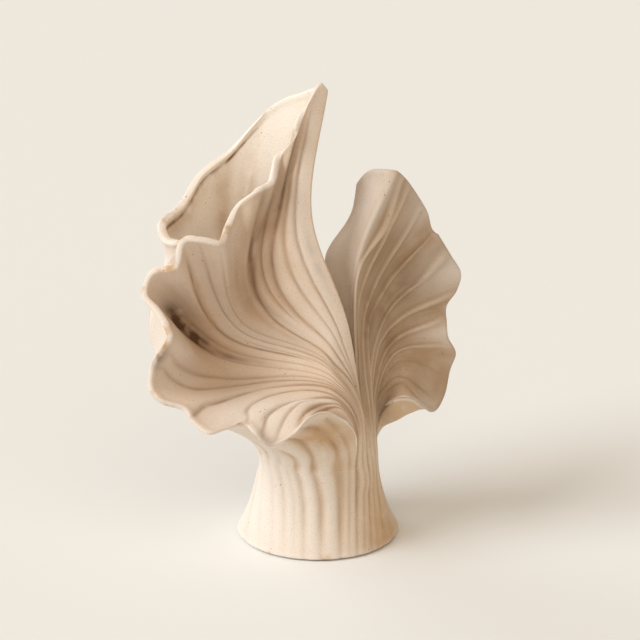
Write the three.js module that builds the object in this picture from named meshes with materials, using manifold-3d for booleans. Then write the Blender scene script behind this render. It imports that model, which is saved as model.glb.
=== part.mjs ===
// Sculptural vase in unglazed stoneware: a horn and a leaf of ribbed clay unfurl from a fluted foot.
// Millimetres, +Z up, front towards -Y, origin on the table under the middle of the foot.
import * as THREE from "three";
import Module from "manifold-3d";

const wasm = await Module();
wasm.setup();

// Foot: flared outside, hollow inside, closed by a disc, resting on felt
const FELT_THICKNESS = 1;
const FELT_INSET = 5;
const FOOT_RADIUS = 55;
const FOOT_EDGE = 1.5;
const FOOT_RIM_WIDTH = 9;
const FOOT_WALL = 5;
const FOOT_FLARE = 2.1;
const DISC_THICKNESS = 6;
const WAIST_RADIUS = 40;
const WAIST_HEIGHT = 57;
const FOOT_FLUTES = 22;
const FOOT_FLUTE_DEPTH = 1.2;
const FOOT_FLUTE_TURN = 0.35;

// Clay sheets above the waist: heights and reach of the petals scale their control points
const PETAL_HEIGHT = 254;
const PETAL_REACH = 113;
const WALL = 4;
const STEM_WALL = 1.4;
const SEAM_GAP = 0.35;
const SEAM_AT = 0.95;
const SEAM_DEPTH = 0.6;
const FACET_TOLERANCE = 0.05;
const RIB_RUN_IN = 22;
const LEAF_EDGE_PULL = 7;
const HORN_STEM_FLUTES = 6;
const LEAF_STEM_FLUTES = 5;
const FLUTE_DEPTH_PER_WIDTH = 0.2;
const FLUTE_DEPTH_MOST = 2.6;
const STEM_FLUTE_DEPTH_MOST = 0.9;

// Angles round the waist in degrees, from the front, positive to the right
const FULL_TURN_ANGLE = 360;
const STEM_LEFT_ANGLE = 38;
const STEM_MIDDLE_ANGLE = 56;
const STEM_RIGHT_ANGLE = 100;
const CROTCH_ANGLE = 150;
const BACK_SPREAD_ANGLE = 102;

// Shares of a rim, from 0 at its first end to 1 at its last
const HORN_LIP_SHARE = 0.5;
const HORN_MOUTH_SHARE = 0.3;
const LEAF_RIM_SHARE = 0.7;
const LIP_END_SHARE = 19 / 31;
const EDGE_LENGTH_SHARE = 0.9;
const EDGE_INSET_SHARE = 0.02;
const LEAF_EDGE_SHARE = 0.14;

// Grooves between the ribs, as shares along the rim
const HORN_GROOVES = [
  0, 0.04, 0.075, 0.1, 0.135, 0.17, 0.24, 0.305, 0.37, 0.42, 0.5, 0.59, 0.64, 0.675, 0.72, 0.775, 0.833,
  0.87, 0.905, 0.94, 1,
];
const LEAF_GROOVES = [0, 0.1, 0.165, 0.2, 0.25, 0.31, 0.39, 0.49, 0.58, 0.65, 0.735, 0.8, 0.83, 0.91, 1];

// Control points, drawn for the height and reach below: x, y and height above the waist
const DRAWN_HEIGHT = 254;
const DRAWN_REACH = 113;
const HORN_RIM = [
  [19, -41, 38], [5, -52, 49], [-7, -60, 47], [-17, -66, 38], [-31, -68, 31], [-41, -62, 37],
  [-49, -56, 42], [-58, -60, 40], [-70, -66, 39], [-80, -60, 43], [-88, -52, 51], [-103, -50, 56],
  [-110, -44, 64], [-107, -44, 79], [-95, -52, 101], [-103, -38, 114], [-113, -26, 122],
  [-108, -26, 136], [-92, -34, 142], [-87, -29, 158], [-76, -30, 159], [-62, -28, 157],
  [-57, -16, 166], [-51, -14, 179], [-40, -20, 189], [-28, -16, 195], [-24, -4, 209], [-14, -6, 223],
  [-9, 0, 236], [-3, 3, 248], [2, 6, 254], [7, 7, 249],
];
const HORN_BELLY = [
  [25, -37, 27], [-3, -46, 50], [-23, -38, 53], [-42, -27, 54], [-56, -14, 55], [-65, 2, 67],
  [-59, 6, 82], [-49, 4, 94], [-43, 0, 116], [-23, -12, 149], [-4, -10, 171],
];
const HORN_KNEE = [
  [26, -35, 16], [20, -39, 38], [16, -40, 49], [13, -39.5, 54], [12, -38, 58.5], [11, -35.5, 63],
  [10.5, -33, 67.5], [10, -31, 71.5], [10, -29, 76], [14, -26, 85], [21, -22, 95],
];
const HORN_STEM_PULL = [
  [0, 0, 0], [1.5, 0, 0], [3, 0, 2], [3, 0, 2], [3, 0, 2], [3, 0, 2.5], [3.5, 0, 3], [4.5, 0, 3.5],
  [5, 0, 4], [4, 0, 2], [0, 0, 0],
];
const MOUTH_BACK_RIM = [
  [-88, -25, 156], [-95, -20, 154], [-102, -12, 155], [-105, -2, 163], [-93, 20, 170],
  [-80, 36, 187], [-59, 46, 201], [-37, 44, 224], [-22, 34, 237], [-9, 20, 245], [1, 10, 251], [6, 8, 249],
];
const HORN_BACK_KNEE = [
  [26, -35, 16], [-12, -40, 13], [-47, -18, 17], [-58, 18, 30], [-34, 46, 43], [4, 44, 41], [22, 26, 19],
];
const HORN_BACK_BELLY = [
  [25, -37, 27], [-8, -49, 28], [-46, -44, 33], [-87, -28, 41], [-107, -12, 73], [-107, 8, 104],
  [-82, 30, 111], [-46, 48, 133], [-14, 42, 133], [4, 28, 83], [24, 8, 35],
];
const LEAF_RIM = [
  [26, 22, 183], [33, 16, 193], [43, 9, 196], [52, 2, 196], [59, 12, 188], [68, 21, 173], [74, 25, 161],
  [76, 23, 151], [81, 18, 147], [90, 25, 131], [97, 28, 118], [95, 30, 106], [88, 30, 94], [88, 26, 84],
  [89, 21, 75], [94, 17, 65], [90, 12, 54], [86, 2, 40], [78, -12, 34], [66, -24, 47], [57, -28, 51],
  [49, -20, 45], [43, 0, 32],
];
const LEAF_BELLY = [
  [4, 31, 127], [22, 0, 135], [30, -2, 133], [38, 12, 120], [45, 20, 106], [52, 21, 98], [49, 17, 85],
  [53, 11, 72], [56, 4, 66], [57, -9, 54], [46, -14, 38], [42, 3, 22],
];
const LEAF_KNEE = [[23, -13, 62], [29, -17, 68], [36, -13, 55], [40, -8, 38], [41, 6, 11]];
const LEAF_BACK_KNEE = [[41, 6, 11], [50, 20, 19], [46, 36, 33], [30, 40, 33], [25, 26, 19]];
const LEAF_BACK_BELLY = [
  [42, 3, 22], [58, -4, 27], [70, 12, 36], [76, 32, 69], [68, 40, 103], [58, 46, 133], [44, 44, 143],
  [32, 42, 123], [30, 30, 73], [28, 10, 35],
];

// Clay colours
const clay = new THREE.MeshStandardMaterial({ color: 0xe1cdb4, roughness: 0.9, metalness: 0 });
const felt = new THREE.MeshStandardMaterial({ color: 0x4a3b30, roughness: 1, metalness: 0 });

function smoothRamp(low, high, value) {
  return THREE.MathUtils.smoothstep(value, low, high);
}

function curveOf(rows, base) {
  const wide = PETAL_REACH / DRAWN_REACH;
  const tall = PETAL_HEIGHT / DRAWN_HEIGHT;
  const points = rows.map(([x, y, height]) => new THREE.Vector3(x * wide, y * wide, base + height * tall));
  return new THREE.CatmullRomCurve3(points, false, "catmullrom", 0.5);
}

function ringPoint(angle, radius, height) {
  const turn = THREE.MathUtils.degToRad(angle);
  return new THREE.Vector3(radius * Math.sin(turn), -radius * Math.cos(turn), height);
}

function footRadius(height) {
  const edge = FELT_THICKNESS + FOOT_EDGE;
  const below = THREE.MathUtils.clamp((WAIST_HEIGHT - height) / (WAIST_HEIGHT - edge), 0, 1);
  return WAIST_RADIUS + (FOOT_RADIUS - WAIST_RADIUS) * below ** FOOT_FLARE;
}

// Rounded ribs with narrow grooves at whole numbers of the phase
function ridge(phase) {
  return Math.abs(Math.sin(Math.PI * phase));
}

function footFlute(angle) {
  return FOOT_FLUTE_DEPTH * ridge((angle / FULL_TURN_ANGLE) * FOOT_FLUTES + FOOT_FLUTE_TURN);
}

// A rib rises from the waist in line with the foot and runs over knee and belly to the rim
function ribPoint(u, angle, knee, belly, rim) {
  const lower = WAIST_HEIGHT - RIB_RUN_IN;
  const below = ringPoint(angle, footRadius(lower), lower);
  const start = ringPoint(angle, WAIST_RADIUS, WAIST_HEIGHT);
  const curve = new THREE.CatmullRomCurve3([below, start, knee, belly, rim], false, "catmullrom", 0.5);
  return curve.getPoint((1 + 3 * u) / 4);
}

const hornRim = curveOf(HORN_RIM, WAIST_HEIGHT);
const hornBelly = curveOf(HORN_BELLY, WAIST_HEIGHT);
const hornKnee = curveOf(HORN_KNEE, WAIST_HEIGHT);
const hornStemPull = curveOf(HORN_STEM_PULL, 0);
const mouthBackRim = curveOf(MOUTH_BACK_RIM, WAIST_HEIGHT);
const hornBackKnee = curveOf(HORN_BACK_KNEE, WAIST_HEIGHT);
const hornBackBelly = curveOf(HORN_BACK_BELLY, WAIST_HEIGHT);
const leafRim = curveOf(LEAF_RIM, WAIST_HEIGHT);
const leafBelly = curveOf(LEAF_BELLY, WAIST_HEIGHT);
const leafKnee = curveOf(LEAF_KNEE, WAIST_HEIGHT);
const leafBackKnee = curveOf(LEAF_BACK_KNEE, WAIST_HEIGHT);
const leafBackBelly = curveOf(LEAF_BACK_BELLY, WAIST_HEIGHT);

const hornAngle = (v) => THREE.MathUtils.lerp(STEM_LEFT_ANGLE, STEM_MIDDLE_ANGLE, v);
const leafAngle = (v) => THREE.MathUtils.lerp(STEM_MIDDLE_ANGLE, STEM_RIGHT_ANGLE, v);
const leafBackAngle = (v) => THREE.MathUtils.lerp(STEM_RIGHT_ANGLE, CROTCH_ANGLE, v);

function hornBackAngle(v) {
  const end = CROTCH_ANGLE - FULL_TURN_ANGLE;
  return THREE.MathUtils.lerp(STEM_LEFT_ANGLE, end, v) - BACK_SPREAD_ANGLE * v * (1 - v);
}

// Ribs of the horn climb along the stem before they fan out at the knee
function hornFront(u, v) {
  const plain = ribPoint(u, hornAngle(v), hornKnee.getPoint(v), hornBelly.getPoint(v), hornRim.getPoint(v));
  const climb = Math.min(3 * u, 1);
  return plain.addScaledVector(hornStemPull.getPoint(v), 16 * climb ** 2 * (1 - climb) ** 2);
}

// Above the belly the leaf's open edge is pulled to the right
function leafFront(u, v) {
  const plain = ribPoint(u, leafAngle(v), leafKnee.getPoint(v), leafBelly.getPoint(v), leafRim.getPoint(v));
  const climb = Math.max(3 * u - 2, 0);
  const pull = LEAF_EDGE_PULL * 16 * climb ** 2 * (1 - climb) ** 2 * (1 - smoothRamp(0, LEAF_EDGE_SHARE, v));
  return plain.add(new THREE.Vector3(pull, 0, 0));
}

// Directions along a rib, across the ribs and square to the sheet, and its width in v
function sheetFrame(surface, u, v) {
  const step = 0.002;
  const u0 = Math.max(u - step, 0);
  const u1 = Math.min(u + step, 1);
  const v0 = Math.max(v - step, 0);
  const v1 = Math.min(v + step, 1);
  const along = surface(u1, v).sub(surface(u0, v)).normalize();
  const across = surface(u, v1).sub(surface(u, v0)).divideScalar(v1 - v0);
  const width = across.length();
  across.normalize();
  const normal = along.clone().cross(across).normalize();
  return { along, across, normal, width };
}

function hornWall(u, v) {
  const start = THREE.MathUtils.lerp(0.45, 0.1, smoothRamp(0.2, 0.5, v));
  const spread = smoothRamp(0.1, 0.5, v) * smoothRamp(start, start + 0.45, u);
  const tip = 1 - 0.5 * smoothRamp(0.86, 0.97, v);
  return STEM_WALL + (WALL - STEM_WALL) * spread * tip;
}

function leafWall(u, v) {
  const spread = smoothRamp(0.1, 0.6, u) * (1 - smoothRamp(0.7, 0.88, v));
  return STEM_WALL + (WALL - STEM_WALL) * spread;
}

// Point inside a front sheet's wall, just short of its edge, where the back sheet is luted on
function seamPoint(surface, wall, u, v) {
  const { normal } = sheetFrame(surface, u, v);
  return surface(u, v).addScaledVector(normal, SEAM_DEPTH * wall(u, v));
}

function hornBackRim(v) {
  if (v < HORN_LIP_SHARE) {
    return seamPoint(hornFront, hornWall, SEAM_AT, (v / HORN_LIP_SHARE) * LIP_END_SHARE);
  }
  const past = v - HORN_LIP_SHARE;
  if (past <= HORN_MOUTH_SHARE) {
    return mouthBackRim.getPoint(past / HORN_MOUTH_SHARE);
  }
  const down = (past - HORN_MOUTH_SHARE) / (1 - HORN_LIP_SHARE - HORN_MOUTH_SHARE);
  return seamPoint(hornFront, hornWall, SEAM_AT - EDGE_LENGTH_SHARE * down, 1 - EDGE_INSET_SHARE);
}

function leafBackRim(v) {
  if (v < LEAF_RIM_SHARE) {
    const across = THREE.MathUtils.lerp(1, EDGE_INSET_SHARE, v / LEAF_RIM_SHARE);
    return seamPoint(leafFront, leafWall, SEAM_AT, across);
  }
  const down = (v - LEAF_RIM_SHARE) / (1 - LEAF_RIM_SHARE);
  return seamPoint(leafFront, leafWall, SEAM_AT - EDGE_LENGTH_SHARE * down, EDGE_INSET_SHARE);
}

function hornBack(u, v) {
  const knee = hornBackKnee.getPoint(v);
  return ribPoint(u, hornBackAngle(v), knee, hornBackBelly.getPoint(v), hornBackRim(v));
}

function leafBack(u, v) {
  const knee = leafBackKnee.getPoint(v);
  return ribPoint(u, leafBackAngle(v), knee, leafBackBelly.getPoint(v), leafBackRim(v));
}

// Which rib a share of the rim lies on, counted from the first groove
function ribCount(grooves, v) {
  const next = Math.max(grooves.findIndex((groove) => groove >= v), 1);
  return next - 1 + (v - grooves[next - 1]) / (grooves[next] - grooves[next - 1]);
}

// Columns of a front sheet: every groove and two places on each rib
function ribColumns(grooves) {
  const shares = [0];
  for (let i = 1; i < grooves.length; i += 1) {
    for (let part = 1; part <= 3; part += 1) {
      shares.push(THREE.MathUtils.lerp(grooves[i - 1], grooves[i], part / 3));
    }
  }
  return shares;
}

function evenColumns(count) {
  return Array.from({ length: count + 1 }, (unused, i) => i / count);
}

// Ribs of a front sheet: many across the bowl, a few where they gather at the stem
function frontRelief(u, v, frame, grooves, stemFlutes, angle) {
  const bowl = smoothRamp(0.12, 0.34, u);
  const flutes = grooves.length - 1;
  const bowlDepth = Math.min((FLUTE_DEPTH_PER_WIDTH * frame.width) / flutes, FLUTE_DEPTH_MOST);
  const stemDepth = Math.min((FLUTE_DEPTH_PER_WIDTH * frame.width) / stemFlutes, STEM_FLUTE_DEPTH_MOST);
  const bowlPart = bowl * bowlDepth * ridge(ribCount(grooves, v));
  const stemPart = (1 - bowl) * stemDepth * ridge(v * stemFlutes) * smoothRamp(0, 0.06, u);
  const rise = (bowlPart + stemPart) * (1 - 0.75 * smoothRamp(0.75, 1, u));
  const outward = ringPoint(angle, footFlute(angle) * (1 - smoothRamp(0, 0.3, u)), 0);
  return outward.addScaledVector(frame.normal, -rise);
}

// Flutes of a back sheet carry on from the foot and fade towards the rim
function backRelief(u, angle) {
  return ringPoint(angle, footFlute(angle) * (1 - smoothRamp(0.5, 0.95, u)), 0);
}

function toSolid(positions, triangles) {
  const mesh = new wasm.Mesh({
    numProp: 3,
    vertProperties: new Float32Array(positions),
    triVerts: new Uint32Array(triangles),
  });
  return new wasm.Manifold(mesh);
}

function signedVolume(points, triangles) {
  let sum = 0;
  for (let i = 0; i < triangles.length; i += 3) {
    const [a, b, c] = [points[triangles[i]], points[triangles[i + 1]], points[triangles[i + 2]]];
    sum += a.dot(b.clone().cross(c)) / 6;
  }
  return sum;
}

// Two faces, each split along its shorter diagonal
function pushQuad(triangles, points, a, b, c, d) {
  if (points[a].distanceToSquared(points[c]) <= points[b].distanceToSquared(points[d])) {
    triangles.push(a, b, c, a, c, d);
  } else {
    triangles.push(a, b, d, b, c, d);
  }
}

// A sheet of clay with a rounded rim: side tells which way the wall lies from the shaped face
function sheetSolid({ surface, rows, shares, wall, side, relief }, grow) {
  const points = [];
  const triangles = [];
  const rowLength = shares.length;
  const columns = rowLength - 1;
  const face = [];
  const reverse = [];
  const lip = [];
  for (let i = 0; i <= rows; i += 1) {
    for (let j = 0; j <= columns; j += 1) {
      const u = i / rows;
      const v = shares[j];
      const frame = sheetFrame(surface, u, v);
      const plain = surface(u, v);
      const outer = plain.clone().add(relief(u, v, frame)).addScaledVector(frame.normal, -side * grow);
      const inner = plain.clone().addScaledVector(frame.normal, side * (wall(u, v) + grow));
      const push = new THREE.Vector3();
      if (i === rows) {
        push.addScaledVector(frame.along, grow);
      }
      if (j === 0) {
        push.addScaledVector(frame.across, -grow);
      }
      if (j === columns) {
        push.addScaledVector(frame.across, grow);
      }
      outer.add(push);
      inner.add(push);
      face.push(points.push(outer) - 1);
      reverse.push(points.push(inner) - 1);
      if (i === rows) {
        const middle = outer.clone().add(inner).multiplyScalar(0.5);
        const half = outer.distanceTo(inner) / 2;
        lip.push(points.push(middle.addScaledVector(frame.along, half)) - 1);
      }
    }
  }
  const at = (i, j) => i * rowLength + j;
  for (let i = 0; i < rows; i += 1) {
    for (let j = 0; j < columns; j += 1) {
      const corners = [at(i, j), at(i, j + 1), at(i + 1, j + 1), at(i + 1, j)];
      pushQuad(triangles, points, ...corners.map((k) => face[k]));
      pushQuad(triangles, points, ...corners.reverse().map((k) => reverse[k]));
    }
  }
  for (let j = 0; j < columns; j += 1) {
    const root = [face[at(0, j + 1)], face[at(0, j)], reverse[at(0, j)], reverse[at(0, j + 1)]];
    pushQuad(triangles, points, ...root);
    pushQuad(triangles, points, face[at(rows, j)], face[at(rows, j + 1)], lip[j + 1], lip[j]);
    pushQuad(triangles, points, lip[j], lip[j + 1], reverse[at(rows, j + 1)], reverse[at(rows, j)]);
  }
  for (let i = 0; i < rows; i += 1) {
    const first = [face[at(i, 0)], face[at(i + 1, 0)], reverse[at(i + 1, 0)], reverse[at(i, 0)]];
    const last = [at(i + 1, columns), at(i, columns)];
    pushQuad(triangles, points, ...first);
    pushQuad(triangles, points, face[last[0]], face[last[1]], reverse[last[1]], reverse[last[0]]);
  }
  triangles.push(face[at(rows, 0)], lip[0], reverse[at(rows, 0)]);
  triangles.push(face[at(rows, columns)], reverse[at(rows, columns)], lip[columns]);
  if (signedVolume(points, triangles) < 0) {
    triangles.reverse();
  }
  return toSolid(points.flatMap((point) => point.toArray()), triangles);
}

// Ring-shaped solid: rows of outer and inner points that close on themselves round the axis
function turnedSolid(outerRows, innerRows, columns) {
  const loops = [...outerRows, ...innerRows.reverse()];
  const points = loops.flat();
  const triangles = [];
  for (let i = 0; i < loops.length; i += 1) {
    const next = (i + 1) % loops.length;
    for (let j = 0; j < columns; j += 1) {
      const turn = (j + 1) % columns;
      const [a, b] = [i * columns + j, i * columns + turn];
      const [c, d] = [next * columns + turn, next * columns + j];
      pushQuad(triangles, points, a, b, c, d);
    }
  }
  if (signedVolume(points, triangles) < 0) {
    triangles.reverse();
  }
  return toSolid(points.flatMap((point) => point.toArray()), triangles);
}

function largestBody(solid) {
  const bodies = solid.decompose();
  return bodies.reduce((best, body) => (body.volume() > best.volume() ? body : best));
}

// The part of a sheet that stands on the waist, less what the cut left over
function luted(solid) {
  const above = solid.trimByPlane([0, 0, 1], WAIST_HEIGHT + SEAM_GAP);
  return largestBody(above.simplify(FACET_TOLERANCE));
}

function meshOf(name, solid, material) {
  const { vertProperties, triVerts, numProp } = solid.getMesh();
  const geometry = new THREE.BufferGeometry();
  const count = vertProperties.length / numProp;
  const positions = new Float32Array(count * 3);
  for (let i = 0; i < count; i += 1) {
    positions.set(vertProperties.subarray(i * numProp, i * numProp + 3), i * 3);
  }
  geometry.setAttribute("position", new THREE.BufferAttribute(positions, 3));
  geometry.setIndex(new THREE.BufferAttribute(new Uint32Array(triVerts), 1));
  geometry.computeVertexNormals();
  const mesh = new THREE.Mesh(geometry, material);
  mesh.name = name;
  return mesh;
}

// Fluted foot with a bore for the disc
function pedestalSolid() {
  const columns = FOOT_FLUTES * 3;
  const bore = FOOT_RADIUS - FOOT_RIM_WIDTH;
  const bottom = FELT_THICKNESS;
  const boreTop = bottom + DISC_THICKNESS;
  const outerProfile = [[FOOT_RADIUS - FOOT_EDGE, bottom]];
  for (let i = 0; i <= 6; i += 1) {
    const height = THREE.MathUtils.lerp(bottom + FOOT_EDGE, WAIST_HEIGHT, i / 6);
    outerProfile.push([footRadius(height), height]);
  }
  const innerProfile = [[bore, bottom], [bore, boreTop]];
  for (let i = 1; i <= 3; i += 1) {
    const height = THREE.MathUtils.lerp(boreTop, WAIST_HEIGHT, i / 3);
    innerProfile.push([Math.min(bore, footRadius(height) - FOOT_WALL), height]);
  }
  const columnAngle = FULL_TURN_ANGLE / columns;
  const angles = Array.from({ length: columns }, (unused, j) => (j - FOOT_FLUTE_TURN * 3) * columnAngle);
  const outerRows = outerProfile.map(([radius, height]) => {
    const share = smoothRamp(0.02, 0.6, height / WAIST_HEIGHT);
    return angles.map((angle) => ringPoint(angle, radius + share * footFlute(angle), height));
  });
  const innerRows = innerProfile.map(([radius, height]) => {
    return angles.map((angle) => ringPoint(angle, radius, height));
  });
  return turnedSolid(outerRows, innerRows, columns);
}

function discMesh(name, radius, bottom, thickness, material) {
  const outline = new THREE.Shape();
  outline.absarc(0, 0, radius, 0, Math.PI * 2);
  const geometry = new THREE.ExtrudeGeometry(outline, {
    depth: thickness,
    bevelEnabled: false,
    curveSegments: 32,
  });
  const mesh = new THREE.Mesh(geometry, material);
  mesh.name = name;
  mesh.position.z = bottom;
  return mesh;
}

const hornFrontSheet = {
  surface: hornFront,
  rows: 13,
  shares: ribColumns(HORN_GROOVES),
  wall: hornWall,
  side: 1,
  relief: (u, v, frame) => frontRelief(u, v, frame, HORN_GROOVES, HORN_STEM_FLUTES, hornAngle(v)),
};
const hornBackSheet = {
  surface: hornBack,
  rows: 10,
  shares: evenColumns(56),
  wall: () => WALL,
  side: -1,
  relief: (u, v) => backRelief(u, hornBackAngle(v)),
};
const leafFrontSheet = {
  surface: leafFront,
  rows: 11,
  shares: ribColumns(LEAF_GROOVES),
  wall: leafWall,
  side: 1,
  relief: (u, v, frame) => frontRelief(u, v, frame, LEAF_GROOVES, LEAF_STEM_FLUTES, leafAngle(v)),
};
const leafBackSheet = {
  surface: leafBack,
  rows: 9,
  shares: evenColumns(30),
  wall: () => WALL,
  side: 1,
  relief: (u, v) => backRelief(u, leafBackAngle(v)),
};

// Each sheet keeps a seam to the ones it is luted to
const hornFrontRoom = sheetSolid(hornFrontSheet, SEAM_GAP);
const hornBackRoom = sheetSolid(hornBackSheet, SEAM_GAP);
const leafFrontRoom = sheetSolid(leafFrontSheet, SEAM_GAP);
const hornFrontSolid = luted(sheetSolid(hornFrontSheet, 0));
const hornBackSolid = luted(sheetSolid(hornBackSheet, 0).subtract(hornFrontRoom));
const hornRoom = hornFrontRoom.add(hornBackRoom);
const leafFrontSolid = luted(sheetSolid(leafFrontSheet, 0).subtract(hornRoom));
const leafBackSolid = luted(sheetSolid(leafBackSheet, 0).subtract(hornRoom.add(leafFrontRoom)));

const discRadius = FOOT_RADIUS - FOOT_RIM_WIDTH - SEAM_GAP;
const vase = new THREE.Group();
vase.add(discMesh("felt_pad", FOOT_RADIUS - FELT_INSET, 0, FELT_THICKNESS, felt));
vase.add(discMesh("base_disc", discRadius, FELT_THICKNESS, DISC_THICKNESS, clay));
vase.add(meshOf("pedestal", pedestalSolid(), clay));
vase.add(meshOf("horn_front", hornFrontSolid, clay));
vase.add(meshOf("horn_back", hornBackSolid, clay));
vase.add(meshOf("leaf_front", leafFrontSolid, clay));
vase.add(meshOf("leaf_back", leafBackSolid, clay));

export default vase;
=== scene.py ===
# %% [markdown]
# # A ribbed stoneware vase
# The vase is thrown and hand-built in unglazed, speckled clay. A flared and fluted foot carries two
# petals: a tall horn on the left, open at the top, and a leaf on the right. Each petal has a front
# sheet with carved ribs and a back sheet luted on behind its rim.
# The CAD model gives the frame. This lesson models each sheet again with fine ribs and soft rims,
# gives the clay its finish, and sets up the studio.

# %% Load the frame
import math
from functools import partial

import bmesh
import bpy
import numpy as np
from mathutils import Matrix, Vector


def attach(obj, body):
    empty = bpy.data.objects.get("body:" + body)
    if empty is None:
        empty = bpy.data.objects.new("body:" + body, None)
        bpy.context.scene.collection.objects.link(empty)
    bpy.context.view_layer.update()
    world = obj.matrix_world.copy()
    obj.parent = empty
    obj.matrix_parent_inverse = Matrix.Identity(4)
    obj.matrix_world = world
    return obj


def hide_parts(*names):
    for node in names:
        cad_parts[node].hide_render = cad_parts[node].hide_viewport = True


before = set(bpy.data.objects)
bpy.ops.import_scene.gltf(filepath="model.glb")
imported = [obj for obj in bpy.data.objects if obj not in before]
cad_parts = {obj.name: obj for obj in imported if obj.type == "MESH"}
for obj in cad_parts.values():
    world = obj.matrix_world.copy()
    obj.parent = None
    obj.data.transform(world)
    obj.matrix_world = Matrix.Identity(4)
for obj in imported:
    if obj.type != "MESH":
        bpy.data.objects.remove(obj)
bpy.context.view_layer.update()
MM = 0.001
print("CAD nodes:", ", ".join(sorted(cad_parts)))

# %% [markdown]
# ## Curves through given points
# Clay has no straight lines, so every form starts as a few points that a curve runs through. A Bezier
# curve object could do this too, but here thousands of vertices ask for places on the curve, so the
# same Catmull-Rom curve is worked out for all of them at once.


# %% Curve helpers
def ramp(low, high, value):
    """0 below low, 1 above high, and a smooth step between."""
    share = np.clip((np.asarray(value, float) - low) / (high - low), 0, 1)
    return share * share * (3 - 2 * share)


def hermite(start, end, leave, arrive, share):
    """Cubic from start to end with the given directions at its ends."""
    square = share * share
    cube = square * share
    keep = 2 * cube - 3 * square + 1
    return keep * start + (cube - 2 * square + share) * leave + (1 - keep) * end + (cube - square) * arrive


def through(points, share):
    """Smooth curve through the points: share 0 is the first and 1 the last."""
    rows = np.asarray(points, float)
    ends = np.concatenate([[2 * rows[0] - rows[1]], rows, [2 * rows[-1] - rows[-2]]])
    place = np.clip(np.asarray(share, float), 0, 1) * (len(rows) - 1)
    first = np.minimum(place.astype(int), len(rows) - 2)
    part = (place - first)[..., None]
    before, start, end, after = (ends[first + step] for step in range(4))
    return hermite(start, end, (end - before) / 2, (after - start) / 2, part)


def bend(pairs, value):
    """A smooth line through (value, height) pairs, level beyond its ends."""
    knots, heights = np.asarray(pairs, float).T
    slopes = np.gradient(heights, knots)
    value = np.clip(np.asarray(value, float), knots[0], knots[-1])
    first = np.clip(np.searchsorted(knots, value, side="right") - 1, 0, len(knots) - 2)
    span = knots[first + 1] - knots[first]
    part = (value - knots[first]) / span
    leave = slopes[first] * span
    arrive = slopes[first + 1] * span
    return hermite(heights[first], heights[first + 1], leave, arrive, part)


print("a curve through three points, halfway:", through([[0, 0], [1, 2], [2, 0]], np.array([0.5])))

# %% [markdown]
# ## The foot's outline
# The foot flares from a waist 80 mm wide to a ring 110 mm wide on the table. Its sizes are the CAD
# model's, in millimetres. Angles run round the foot from the front, positive to the right.

# %% Foot sizes
FELT_THICKNESS = 1.0
FELT_RADIUS = 50.0
FOOT_RADIUS = 55.0
FOOT_EDGE = 1.5
FOOT_FLARE = 2.1
WAIST_RADIUS = 40.0
WAIST_HEIGHT = 57.0
RIB_RUN_IN = 22.0
FLUTE_RISE = 1.2


def ring_point(angle, radius, height):
    turn = np.radians(angle)
    return np.stack([radius * np.sin(turn), -radius * np.cos(turn), height + 0 * turn], -1)


def foot_radius(height):
    below = np.clip((WAIST_HEIGHT - height) / (WAIST_HEIGHT - FELT_THICKNESS - FOOT_EDGE), 0, 1)
    return WAIST_RADIUS + (FOOT_RADIUS - WAIST_RADIUS) * below**FOOT_FLARE


print("foot radius halfway up:", foot_radius(WAIST_HEIGHT / 2))

# %% [markdown]
# ## Points of the petals
# Each sheet is a fan of ribs. A rib leaves the waist in line with the foot, runs over a knee and a belly
# and ends on the rim, so four rows of points shape a sheet. Heights are above the waist. Sculpting could
# give such forms as well, but points can be set against the photograph one by one.

# %% Control points, in millimetres
HORN_RIM = [
    (19, -41, 38), (5, -52, 49), (-7, -60, 47), (-17, -66, 38), (-31, -68, 31), (-41, -62, 37),
    (-49, -56, 42), (-58, -60, 40), (-70, -66, 39), (-80, -60, 43), (-88, -52, 51), (-103, -50, 56),
    (-110, -44, 64), (-107, -44, 79), (-95, -52, 101), (-103, -38, 114), (-113, -26, 122),
    (-108, -26, 136), (-92, -34, 142), (-87, -29, 158), (-76, -30, 159), (-62, -28, 157),
    (-57, -16, 166), (-51, -14, 179), (-40, -20, 189), (-28, -16, 195), (-24, -4, 209), (-14, -6, 223),
    (-9, 0, 236), (-3, 3, 248), (2, 6, 254), (7, 7, 249),
]
HORN_BELLY = [
    (25, -37, 27), (-3, -46, 50), (-23, -38, 53), (-42, -27, 54), (-56, -14, 55), (-65, 2, 67),
    (-59, 6, 82), (-49, 4, 94), (-43, 0, 116), (-23, -12, 149), (-4, -10, 171),
]
HORN_KNEE = [
    (26, -35, 16), (20, -39, 38), (16, -40, 49), (13, -39.5, 54), (12, -38, 58.5), (11, -35.5, 63),
    (10.5, -33, 67.5), (10, -31, 71.5), (10, -29, 76), (14, -26, 85), (21, -22, 95),
]
HORN_STEM_PULL = [
    (0, 0, 0), (1.5, 0, 0), (3, 0, 2), (3, 0, 2), (3, 0, 2), (3, 0, 2.5), (3.5, 0, 3), (4.5, 0, 3.5),
    (5, 0, 4), (4, 0, 2), (0, 0, 0),
]
MOUTH_BACK_RIM = [
    (-88, -25, 156), (-95, -20, 154), (-102, -12, 155), (-105, -2, 163), (-93, 20, 170), (-80, 36, 187),
    (-59, 46, 201), (-37, 44, 224), (-22, 34, 237), (-9, 20, 245), (1, 10, 251), (6, 8, 249),
]
HORN_BACK_KNEE = [
    (26, -35, 16), (-12, -40, 13), (-47, -18, 17), (-58, 18, 30), (-34, 46, 43), (4, 44, 41), (22, 26, 19),
]
HORN_BACK_BELLY = [
    (25, -37, 27), (-8, -49, 28), (-46, -44, 33), (-87, -28, 41), (-107, -12, 73), (-107, 8, 104),
    (-82, 30, 111), (-46, 48, 133), (-14, 42, 133), (4, 28, 83), (24, 8, 35),
]
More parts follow.
